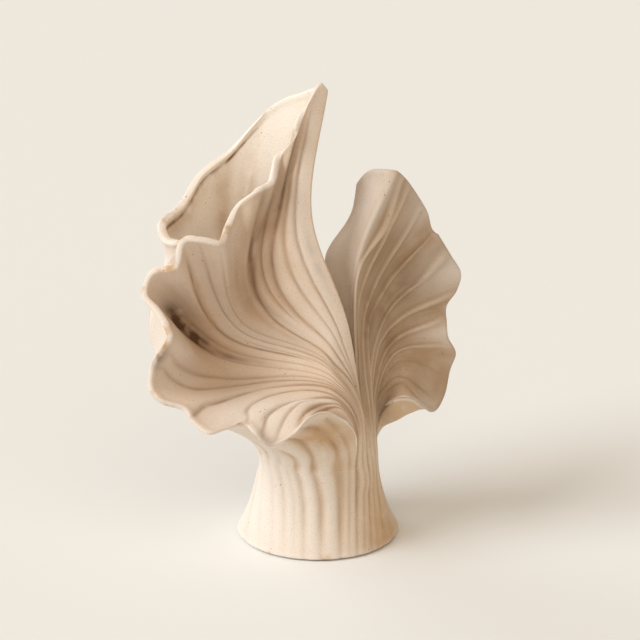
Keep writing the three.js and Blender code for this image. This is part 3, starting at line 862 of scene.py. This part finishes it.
def mouth_bead(u, v, from_rim):
    """The rolled edge inside the mouth and the crease below it, with painted shade in the crease."""
    mouth = ramp(*ROLL_START, v) * (1 - ramp(*ROLL_END, v))
    crease = mouth * (1 - ramp(*CREASE_END, v)) * bell(from_rim, *CREASE_PLACE)
    roll = ROLL_RISE * mouth * bell(from_rim, *ROLL_PLACE)
    return roll - CREASE_DEPTH * crease, CREASE_SHADE * crease


print("back wall, halfway up:", horn_back_wall(0.5, 0.6))

# %% [markdown]
# ## Patches from the kiln, and painted light
# The fire toasts some places. Pale patches are painted light. Each patch has a middle (u, v) and a
# reach in u and v, in thousandths, and a strength. Vertex paint could do this by hand, but numbers are
# easier to correct.

# %% Patches and sheets
HORN_TOAST = [
    (840, 518, 60, 26, 1.6), (760, 516, 80, 20, 1.3), (660, 517, 100, 14, 0.7), (990, 425, 30, 14, 0.5),
    (990, 140, 40, 20, 0.5), (840, 880, 120, 18, 0.75), (750, 800, 200, 12, 0.6),
    (550, 975, 100, 15, 0.25), (500, 700, 300, 90, 0.12), (600, 380, 250, 90, 0.16),
    (720, 300, 160, 60, 0.12),
]
# Painted light: patches of the horn painted paler.
HORN_PAINTED_LIGHT = [
    (850, 200, 220, 150, 0.9), (620, 155, 220, 50, 1.0), (700, 960, 450, 35, 0.7),
    (750, 640, 200, 40, 0.5), (350, 900, 200, 100, 0.5), (880, 400, 100, 60, 0.5),
    (920, 690, 120, 40, 0.4),
]
LEAF_TOAST = [
    (680, 400, 170, 130, 0.9), (500, 300, 180, 120, 0.8), (750, 240, 160, 30, 0.6),
    (620, 590, 160, 60, 0.7), (970, 750, 50, 40, 0.3), (400, 600, 150, 150, 0.4),
]
# Painted light: the leaf's margin and rim painted paler.
LEAF_PAINTED_LIGHT = [
    (950, 60, 300, 80, 0.9), (620, 40, 280, 60, 1.1), (800, 130, 250, 30, 0.8), (1000, 250, 140, 50, 0.7),
    (1000, 440, 180, 50, 1.0), (980, 620, 160, 40, 0.8), (950, 860, 120, 80, 0.6),
]
HOOD_TOAST = [
    (660, 70, 300, 70, 1.1), (970, 120, 80, 60, 0.4),
]
MOUTH_TOAST = [
    (840, 545, 140, 25, 1.3), (950, 605, 40, 30, 0.7), (820, 655, 160, 10, 0.7), (780, 684, 140, 10, 0.6),
    (550, 620, 160, 30, 0.7),
]
horn_front_piece = build_sheet(
    "horn_front_sheet", horn_front, horn_wall, side=1, free=(0, 1),
    relief=partial(front_relief, horn_angle, HORN_CUTS), columns=460, rows=98,
    face_toast=HORN_TOAST, face_light=HORN_PAINTED_LIGHT, mouth_from=MOUTH_FROM,
)
horn_back_piece = build_sheet(
    "horn_back_sheet", horn_back, horn_back_wall, side=-1, free=(0, 0),
    relief=horn_back_relief, columns=400, rows=110,
    inner=mouth_bead, face_toast=HOOD_TOAST, inner_toast=MOUTH_TOAST, mouth_from=EVERYWHERE,
)
leaf_front_piece = build_sheet(
    "leaf_front_sheet", leaf_front, leaf_wall, side=1, free=(1, 0),
    relief=partial(front_relief, leaf_angle, LEAF_CUTS), columns=400, rows=92,
    face_toast=LEAF_TOAST, face_light=LEAF_PAINTED_LIGHT,
)
leaf_back_piece = build_sheet(
    "leaf_back_sheet", leaf_back, leaf_back_wall, side=1, free=(0, 0),
    relief=leaf_back_relief, columns=260, rows=64,
)

# %% [markdown]
# ## Foot, disc and felt
# The foot is a ring of clay, closed below by a disc that is set in from the edge. A felt pad keeps the
# table from scratches. The foot is a grid rolled round into a tube, with its profile in the rows.

# %% Foot
FOOT_ROWS = 64
FOOT_COLUMNS = 540
EDGE_ROWS = 6
FOOT_WALL = 5.0
FOOT_RIM_WIDTH = 9.0
FLUTE_AT_EDGE = 0.3
FLUTE_GROWTH = (0.02, 0.6)
STEM_TAN_FROM = 0.6
KNEE_SAMPLES = 400
SLOPE_STEP = 0.5
FOOT_TOAST = [(150, 160, 200, 60, 0.8)]


def knee_at(angle):
    """The knee of the rib that leaves the waist at an angle."""
    behind = 360 - CROTCH
    turn = (angle + behind) % 360 - behind
    v = np.linspace(0, 1, KNEE_SAMPLES)
    back_v = np.interp(-turn, -horn_back_angle(v), v)
    knees = petal_curve(HORN_BACK_KNEE, back_v)
    stops = [
        (STEM_LEFT, STEM_MIDDLE, HORN_KNEE),
        (STEM_MIDDLE, STEM_RIGHT, LEAF_KNEE),
        (STEM_RIGHT, CROTCH, LEAF_BACK_KNEE),
    ]
    for low, high, points in stops:
        within = (turn >= low) & (turn <= high)
        share = (turn - low) / (high - low)
        knees = np.where(within[..., None], petal_curve(points, share), knees)
    return knees


def foot_surface(angle, height):
    """Flared side of the foot, led into the ribs above the waist."""
    below, start = run_in(angle)
    plain = ring_point(angle, foot_radius(height), height)
    share = np.clip((height - RUN_IN_FROM) / RIB_RUN_IN, 0, 1)[..., None]
    slope = (foot_radius(RUN_IN_FROM + SLOPE_STEP) - foot_radius(RUN_IN_FROM)) / SLOPE_STEP
    leave = ring_point(angle, slope * RIB_RUN_IN, RIB_RUN_IN)
    led = hermite(below, start, leave, (knee_at(angle) - below) / 2, share)
    return np.where((height > RUN_IN_FROM)[..., None], led, plain)


def build_foot():
    tube, column, row = grid_mesh(FOOT_COLUMNS, FOOT_ROWS)
    angle = column / FOOT_COLUMNS * 360 - 180
    side_bottom = FELT_THICKNESS + FOOT_EDGE
    edge = quarter(FOOT_ROWS - row, EDGE_ROWS, FOOT_ROWS)
    climb = np.clip((row - EDGE_ROWS) / (FOOT_ROWS - EDGE_ROWS), 0, 1)
    height = mix(side_bottom, WAIST_HEIGHT, climb) - FOOT_EDGE * np.sin(edge)
    u = height / WAIST_HEIGHT
    v = angle / 360
    rise, groove_shade = foot_flute(flute_angle(angle, height))
    flute, tan = foot_tone(angle, rise)
    share = mix(FLUTE_AT_EDGE, 1, ramp(*FLUTE_GROWTH, u))
    places = foot_surface(angle, np.maximum(height, side_bottom))
    places[:, 2] = np.where(row < EDGE_ROWS, height, places[:, 2])
    shrink = ring_point(angle, FOOT_EDGE * (1 - np.cos(edge)), 0)
    places = places + ring_point(angle, rise * share, 0) - shrink
    layers = {
        "groove_shade": groove_shade * share, "rim": height - FELT_THICKNESS, "u": u, "v": v, "crest": flute * share,
        "tan": tan * mix(1, STEM_TAN, ramp(STEM_TAN_FROM, 1, u)), "toast": patches_at(FOOT_TOAST, u, v),
    }
    write_layers(tube, tube.verts, layers)
    place_vertices(tube.verts, places)
    bmesh.ops.remove_doubles(tube, verts=tube.verts[:], dist=WELD)
    borders = [side for side in tube.edges if side.is_boundary]
    halfway = WAIST_HEIGHT / 2 * MM
    top = [side for side in borders if side.verts[0].co.z > halfway]
    low = [side for side in borders if side.verts[0].co.z <= halfway]
    bore = FOOT_RADIUS - FOOT_RIM_WIDTH
    rings = [(top, WAIST_RADIUS - FOOT_WALL, WAIST_HEIGHT), (low, bore, FELT_THICKNESS)]
    for ring, radius, level in rings:
        grown = bmesh.ops.extrude_edge_only(tube, edges=ring)
        for vertex in only(bmesh.types.BMVert, grown["geom"]):
            flat = Vector((vertex.co.x, vertex.co.y, 0)).normalized() * radius * MM
            vertex.co = (flat.x, flat.y, level * MM)
    bmesh.ops.bridge_loops(tube, edges=[side for side in tube.edges if side.is_boundary])
    bmesh.ops.recalc_face_normals(tube, faces=tube.faces[:])
    return finish_mesh("foot", tube)


foot_piece = build_foot()

# %% Disc and felt
DISC_THICKNESS = 6.0
DISC_EDGE = 0.6
FELT_EDGE = 0.3
DISC_SEGMENTS = 180
BEVEL_SEGMENTS = 3
SAME_HEIGHT = 1e-7
SEAM_GAP = 0.35


def build_disc(name, radius, bottom, top, edge):
    disc = bmesh.new()
    bmesh.ops.create_circle(disc, cap_ends=True, cap_tris=False, segments=DISC_SEGMENTS, radius=radius * MM)
    bmesh.ops.translate(disc, verts=disc.verts[:], vec=(0, 0, bottom * MM))
    grown = bmesh.ops.extrude_face_region(disc, geom=disc.faces[:])
    raised = only(bmesh.types.BMVert, grown["geom"])
    bmesh.ops.translate(disc, verts=raised, vec=(0, 0, (top - bottom) * MM))
    rings = [side for side in disc.edges if abs(side.verts[0].co.z - side.verts[1].co.z) < SAME_HEIGHT]
    bmesh.ops.bevel(
        disc, geom=rings, offset=edge * MM, segments=BEVEL_SEGMENTS, profile=0.5,
        affect="EDGES", material=-1,
    )
    bmesh.ops.recalc_face_normals(disc, faces=disc.faces[:])
    write_layers(disc, disc.verts, {"rim": np.full(len(disc.verts), radius)})
    return finish_mesh(name, disc)


disc_top = FELT_THICKNESS + DISC_THICKNESS
disc_radius = FOOT_RADIUS - FOOT_RIM_WIDTH - SEAM_GAP
disc_piece = build_disc("base_disc_slab", disc_radius, FELT_THICKNESS, disc_top, DISC_EDGE)
felt_piece = build_disc("felt_sheet", FELT_RADIUS, 0, FELT_THICKNESS, FELT_EDGE)

# %% [markdown]
# ## Shader helpers
# Materials are graphs of nodes. A few short helpers keep the graphs readable: one fills a socket, one adds
# a node, one does a sum, one blends two colours, one stretches a range, one reads a number that a mesh
# keeps, one makes noise and one starts a material.

# %% Node helpers
def feed(tree, socket, value):
    """Links a socket to another one, or sets it to a plain value."""
    if isinstance(value, bpy.types.NodeSocket):
        tree.links.new(value, socket)
    else:
        socket.default_value = value


def add(tree, kind, **inputs):
    """A new node with some sockets filled. In their names an underscore stands for a space."""
    step = tree.nodes.new("ShaderNode" + kind)
    for name, value in inputs.items():
        feed(tree, step.inputs[name.replace("_", " ")], value)
    return step


def calc(tree, operation, *terms):
    step = add(tree, "Math")
    step.operation = operation
    for socket, term in zip(step.inputs, terms):
        feed(tree, socket, term)
    return step.outputs[0]


def times(tree, value, share):
    return calc(tree, "MULTIPLY", value, share)


def blend(tree, share, low, high):
    step = add(tree, "Mix")
    step.data_type = "RGBA"
    colours = [socket for socket in step.inputs if socket.type == "RGBA"]
    feed(tree, step.inputs[0], share)
    feed(tree, colours[0], low)
    feed(tree, colours[1], high)
    return next(socket for socket in step.outputs if socket.type == "RGBA")


def stretch(tree, value, low, high):
    """Smooth 0 to 1 as the value goes from low to high."""
    step = add(tree, "MapRange", Value=value, From_Min=low, From_Max=high)
    step.interpolation_type = "SMOOTHSTEP"
    return step.outputs["Result"]


def read(tree, name):
    step = add(tree, "Attribute")
    step.attribute_name = name
    return step.outputs["Fac"]


def noise(tree, place, scale, detail):
    return add(tree, "TexNoise", Vector=place, Scale=scale, Detail=detail).outputs["Fac"]


def start_material(name, roughness):
    material = bpy.data.materials.new(name)
    material.use_nodes = True
    shader = material.node_tree.nodes["Principled BSDF"]
    shader.inputs["Roughness"].default_value = roughness
    return material, shader


print("node helpers are ready")

# %% [markdown]
# ## Marks of the clay
# Unglazed stoneware shows how it was made: dark iron specks, rims and patches toasted by the kiln, and
# streaks from the tool along the ribs. The grooves also get painted shade, and the rims a painted
# highlight. All clay here shares these marks, so they are one node group, and every material places it
# with its own colours. Each noise has a scale and a detail.

# %% Marks as a node group
CLOUD = (16, 3)
BLOTCH = (75, 4)
GRAIN = (1100, 2)
STREAK = (1.5, 4)
STREAK_ALONG = 2.5
STREAK_ACROSS = 45
MAIN_PART = 0.65
SHADE_PATCHINESS = (0.28, 0.62)
SCORCH_WORN = (1.08, 1.3)
TOAST_WORN = (0.25, 0.6)
CLOUD_SPAN = (0.75, 1.25)
WARM_SPAN = (0.1, 0.5)
SAND_SPAN = (0.52, 0.75)
SPECK_SCALE = 320
SPECK_SHARE = 0.8
SPECK_SIZE = 0.7
RIM_BAND = 5.0


def mostly(tree, main, other):
    """The larger part of one value and the rest of another."""
    return calc(tree, "ADD", times(tree, main, MAIN_PART), times(tree, other, 1 - MAIN_PART))


def build_marks():
    tree = bpy.data.node_groups.new("clay_marks", "ShaderNodeTree")
    place = add(tree, "TexCoord").outputs["Object"]
    cloud = noise(tree, place, *CLOUD)
    blotch = noise(tree, place, *BLOTCH)
    grain = noise(tree, place, *GRAIN)
    climb = times(tree, read(tree, "u"), STREAK_ALONG)
    ribs = add(tree, "CombineXYZ", X=climb, Y=times(tree, read(tree, "v"), STREAK_ACROSS))
    patchy = mostly(tree, blotch, noise(tree, ribs.outputs[0], *STREAK))
    near_rim = calc(tree, "SUBTRACT", 1, stretch(tree, read(tree, "rim"), 0, RIM_BAND))
    uneven = stretch(tree, calc(tree, "ADD", cloud, blotch), *SCORCH_WORN)
    cells = add(tree, "TexVoronoi", Vector=place, Scale=SPECK_SCALE)
    chance = add(tree, "SeparateColor", Color=cells.outputs["Color"])
    radius = times(tree, calc(tree, "SUBTRACT", chance.outputs[0], SPECK_SHARE), SPECK_SIZE)
    marks = {
        # Painted shade in the grooves, flutes and creases, made patchy by noise.
        "Shade": times(tree, read(tree, "groove_shade"), stretch(tree, patchy, *SHADE_PATCHINESS)),
        # Near a rim the clay is painted paler, as a painted highlight.
        "Rim": near_rim,
        "Scorch": times(tree, near_rim, uneven),
        "Toast": times(tree, read(tree, "toast"), stretch(tree, patchy, *TOAST_WORN)),
        "Cloud": stretch(tree, calc(tree, "ADD", cloud, patchy), *CLOUD_SPAN),
        "Warm": stretch(tree, patchy, *WARM_SPAN),
        "Sand": stretch(tree, grain, *SAND_SPAN),
        "Speck": calc(tree, "LESS_THAN", cells.outputs["Distance"], radius),
        "Height": mostly(tree, patchy, grain),
    }
    for name in marks:
        tree.interface.new_socket(name, in_out="OUTPUT", socket_type="NodeSocketFloat")
    out = tree.nodes.new("NodeGroupOutput")
    for name, value in marks.items():
        tree.links.new(value, out.inputs[name])
    return tree


marks_group = build_marks()
print("clay marks:", ", ".join(item.name for item in marks_group.interface.items_tree))

# %% [markdown]
# ## Clay, lit and toasted
# The same clay fires to different tones: cream outside and on the foot, tan in the dish of the horn,
# browner in the leaf. Crests are painted paler than the hollows between them, as painted highlight and
# shade, and rims and the inside of the mouth are painted paler, as painted light. The tones lie on each
# other like coats of paint, and the specks come last, because they lie on top of every tone.

# %% Clay materials
# Brown of the painted shade in grooves, flutes and creases, and of the clay's grain.
SHADE_AND_GRAIN_BROWN = (0.27, 0.14, 0.06, 1)
SCORCH_ORANGE = (0.58, 0.38, 0.21, 1)
SPECK_BROWN = (0.2, 0.11, 0.055, 1)
CREAM = (0.84, 0.765, 0.685, 1)
# Painted shade in the hollows of the outer clay.
SHADED_CREAM = (0.66, 0.515, 0.37, 1)
WARM_TAN = (0.66, 0.46, 0.27, 1)
# Painted light inside the mouth.
INSIDE_PAINTED_LIGHT = (0.95, 0.87, 0.77, 1)
# Colour of painted light on rims and pale patches.
PAINTED_LIGHT_CREAM = (0.86, 0.8, 0.735, 1)
CREST_SPAN = 0.8
OUTER_CREST = (-0.6, 0.2)
OUTER_SHADE = 0.5
CREASE_EXTRA = 0.5
CLOUD_SHARE = 0.3
PAINTED_LIGHT_SHARE = 0.7
SAND_SHARE = 0.22
CLAY_ROUGHNESS = 0.9
GRAIN_RISE = 0.0006
GRAIN_STRENGTH = 0.5


def clay_material(name, hollow, crest, toasted, level, shade_strength, rim_highlight):
    """The clay goes from the hollow colour to the crest colour, as painted shade and painted highlight.
    level is the crest value at which the clay is as pale as a crest. The next number is how strong the
    painted shade in the grooves is, and the last how pale the rim is painted, as a painted highlight."""
    material, shader = start_material(name, CLAY_ROUGHNESS)
    tree = material.node_tree
    marks = add(tree, "Group")
    marks.node_tree = marks_group
    mark = marks.outputs
    rise = read(tree, "crest")
    outer = read(tree, "outer")
    inside = read(tree, "inside")
    # Painted shade in the outer clay's hollows, and painted highlight on its crests.
    outside = blend(tree, stretch(tree, rise, *OUTER_CREST), SHADED_CREAM, CREAM)
    painted_light = times(tree, read(tree, "painted_light"), PAINTED_LIGHT_SHARE)
    plainer = times(tree, outer, OUTER_SHADE - shade_strength)
    creased = times(tree, inside, CREASE_EXTRA)
    strength = calc(tree, "ADD", calc(tree, "ADD", plainer, shade_strength), creased)
    coats = [
        (times(tree, mark["Cloud"], CLOUD_SHARE), CREAM),
        (outer, outside),
        (times(tree, read(tree, "tan"), mark["Warm"]), WARM_TAN),
        # Rims and pale patches painted paler, as painted light.
        (calc(tree, "MAXIMUM", times(tree, mark["Rim"], rim_highlight), painted_light), PAINTED_LIGHT_CREAM),
        # Painted light inside the mouth.
        (inside, INSIDE_PAINTED_LIGHT),
        (mark["Scorch"], SCORCH_ORANGE),
        (mark["Toast"], toasted),
        # Painted shade in the grooves, flutes and creases.
        (times(tree, mark["Shade"], strength), SHADE_AND_GRAIN_BROWN),
        (times(tree, mark["Sand"], SAND_SHARE), SHADE_AND_GRAIN_BROWN),
        (mark["Speck"], SPECK_BROWN),
    ]
    # Painted shade in the hollows and painted highlight on the crests.
    colour = blend(tree, stretch(tree, rise, level - CREST_SPAN, level), hollow, crest)
    for share, paint in coats:
        colour = blend(tree, share, colour, paint)
    tree.links.new(colour, shader.inputs["Base Color"])
    bump = add(tree, "Bump", Strength=GRAIN_STRENGTH, Distance=GRAIN_RISE, Height=mark["Height"])
    tree.links.new(bump.outputs["Normal"], shader.inputs["Normal"])
    print(name, "has", len(tree.nodes), "nodes")
    return material


# Grooves of the horn painted darker as painted shade; raised ribs of the leaf painted paler as painted
# highlight.
HORN_GROOVE_SHADE = (0.55, 0.385, 0.25, 1)
HORN_CREST = (0.74, 0.595, 0.46, 1)
LEAF_BROWN = (0.42, 0.285, 0.17, 1)
LEAF_CREST_HIGHLIGHT = (0.64, 0.485, 0.34, 1)
DARK_TOAST = (0.1, 0.045, 0.018, 1)
LEAF_TOASTED = (0.29, 0.18, 0.095, 1)
HOOD_TOASTED = (0.6, 0.4, 0.23, 1)
horn_clay = clay_material(
    "horn_clay", HORN_GROOVE_SHADE, HORN_CREST, DARK_TOAST, level=0.3, shade_strength=0.6, rim_highlight=0.7,
)
leaf_clay = clay_material(
    "leaf_clay", LEAF_BROWN, LEAF_CREST_HIGHLIGHT, LEAF_TOASTED, level=0.8, shade_strength=0.5, rim_highlight=0.2,
)
outer_clay = clay_material(
    "outer_clay", SHADED_CREAM, CREAM, HOOD_TOASTED, level=0.2, shade_strength=OUTER_SHADE, rim_highlight=0.7,
)
horn_front_piece.data.materials.append(horn_clay)
leaf_front_piece.data.materials.append(leaf_clay)
for piece in (horn_back_piece, leaf_back_piece, foot_piece, disc_piece):
    piece.data.materials.append(outer_clay)

# %% [markdown]
# ## Felt
# The pad under the foot is pressed wool felt. Only its edge can be seen, as a dark line, and its
# near-black brown partly stands in for the shadow in the gap under the foot, as painted shadow. Its
# fibres are a noise much finer than the clay's grain.

# %% Felt material
FIBRE = (2500, 3)
FIBRE_SPAN = (0.3, 0.7)
# Near-black felt, which also stands in for the shadow in the gap under the foot.
FELT_DARK = (0.03, 0.02, 0.013, 1)
FELT_LIGHT = (0.1, 0.07, 0.05, 1)
NO_GLOSS = 1.0
felt, felt_shader = start_material("felt_and_gap_shadow", NO_GLOSS)
felt_tree = felt.node_tree
felt_place = add(felt_tree, "TexCoord").outputs["Object"]
fibres = stretch(felt_tree, noise(felt_tree, felt_place, *FIBRE), *FIBRE_SPAN)
felt_colour = blend(felt_tree, fibres, FELT_DARK, FELT_LIGHT)
felt_tree.links.new(felt_colour, felt_shader.inputs["Base Color"])
felt_piece.data.materials.append(felt)
print("felt has", len(felt_tree.nodes), "nodes")

# %% [markdown]
# ## Onto the frame
# Nothing on the vase moves, so every piece rides on the root body and stands in for its CAD node. The felt
# is a sheet cut flat: a round of the pad's own width.

# %% Riding on the frame
DRESSED = [
    (horn_front_piece, "horn_front", "stoneware"),
    (horn_back_piece, "horn_back", "stoneware"),
    (leaf_front_piece, "leaf_front", "stoneware"),
    (leaf_back_piece, "leaf_back", "stoneware"),
    (foot_piece, "pedestal", "stoneware"),
    (disc_piece, "base_disc", "stoneware"),
    (felt_piece, "felt_pad", "felt"),
]
for piece, node, slot in DRESSED:
    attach(piece, "root")
    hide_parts(node)
print("pieces on the frame:", len(DRESSED))

# %% [markdown]
# ## Studio
# A window on the left gives the main light, soft and a little cool, and a weaker lamp behind it lights the
# rims. The room sends back a weak warm light, so the shadows are warm. The floor is one pale sheet of paper
# that fills the picture.

# %% Floor
FLOOR_HALF = 8
FLOOR_CREAM = (0.87, 0.89, 0.885, 1)
scene = bpy.context.scene
scene.view_settings.view_transform = "Standard"
floor_grid = bmesh.new()
bmesh.ops.create_grid(floor_grid, x_segments=1, y_segments=1, size=FLOOR_HALF)
floor_piece = finish_mesh("studio_floor", floor_grid)
floor_paint, floor_shader = start_material("floor_paint", NO_GLOSS)
floor_shader.inputs["Base Color"].default_value = FLOOR_CREAM
floor_piece.data.materials.append(floor_paint)

# %% Lights
AIR_COLOUR = (1.0, 0.81, 0.62, 1)
AIR_STRENGTH = 0.38
COOL = (0.97, 1.0, 1.03)
WARM = (1.0, 0.87, 0.72)
LAMPS = [
    ("window_light", 0.62, -70, 36, 35, COOL),
    ("back_light", 0.25, -135, 15, 40, COOL),
    ("room_light", 0.24, 15, 52, 60, WARM),
]
world = bpy.data.worlds.new("studio_air")
scene.world = world
world.use_nodes = True
air = world.node_tree.nodes["Background"]
air.inputs["Color"].default_value = AIR_COLOUR
air.inputs["Strength"].default_value = AIR_STRENGTH


def add_sun(name, level, turn, climb, spread, colour):
    """A far lamp. At level 1 a surface that faces it shows its own colour. In degrees, turn runs from the
    front to the right, climb is the height above the floor and spread the width of the lamp."""
    lamp_data = bpy.data.lights.new(name, "SUN")
    lamp_data.energy = level * math.pi
    lamp_data.angle = math.radians(spread)
    lamp_data.color = colour
    lamp = bpy.data.objects.new(name, lamp_data)
    scene.collection.objects.link(lamp)
    side, rise = math.radians(turn), math.radians(climb)
    towards = Vector((math.sin(side) * math.cos(rise), -math.cos(side) * math.cos(rise), math.sin(rise)))
    lamp.rotation_euler = towards.to_track_quat("Z", "Y").to_euler()


for lamp_row in LAMPS:
    add_sun(*lamp_row)
print("lamps:", ", ".join(lamp_row[0] for lamp_row in LAMPS))

# %% [markdown]
# ## Camera
# The photograph looks down a little, from far enough away that upright lines stay upright. Lens and height
# were found by laying renders over the photograph.

# %% Camera
VIEW_TARGET = Vector((0.0014, 0.0, 0.1513))
VIEW_DISTANCE = 1.5
VIEW_RISE = math.radians(18.5)
PIXELS_PER_LENS = 2250.0
IMAGE_SIDE = 640.0
SENSOR_WIDTH = 36
camera_data = bpy.data.cameras.new("view")
camera = bpy.data.objects.new("view", camera_data)
scene.collection.objects.link(camera)
forward = Vector((0, math.cos(VIEW_RISE), -math.sin(VIEW_RISE)))
camera.location = VIEW_TARGET - forward * VIEW_DISTANCE
camera.rotation_euler = forward.to_track_quat("-Z", "Y").to_euler()
camera_data.sensor_width = SENSOR_WIDTH
camera_data.lens = PIXELS_PER_LENS / IMAGE_SIDE * SENSOR_WIDTH
scene.camera = camera
print("lens in millimetres:", camera_data.lens)
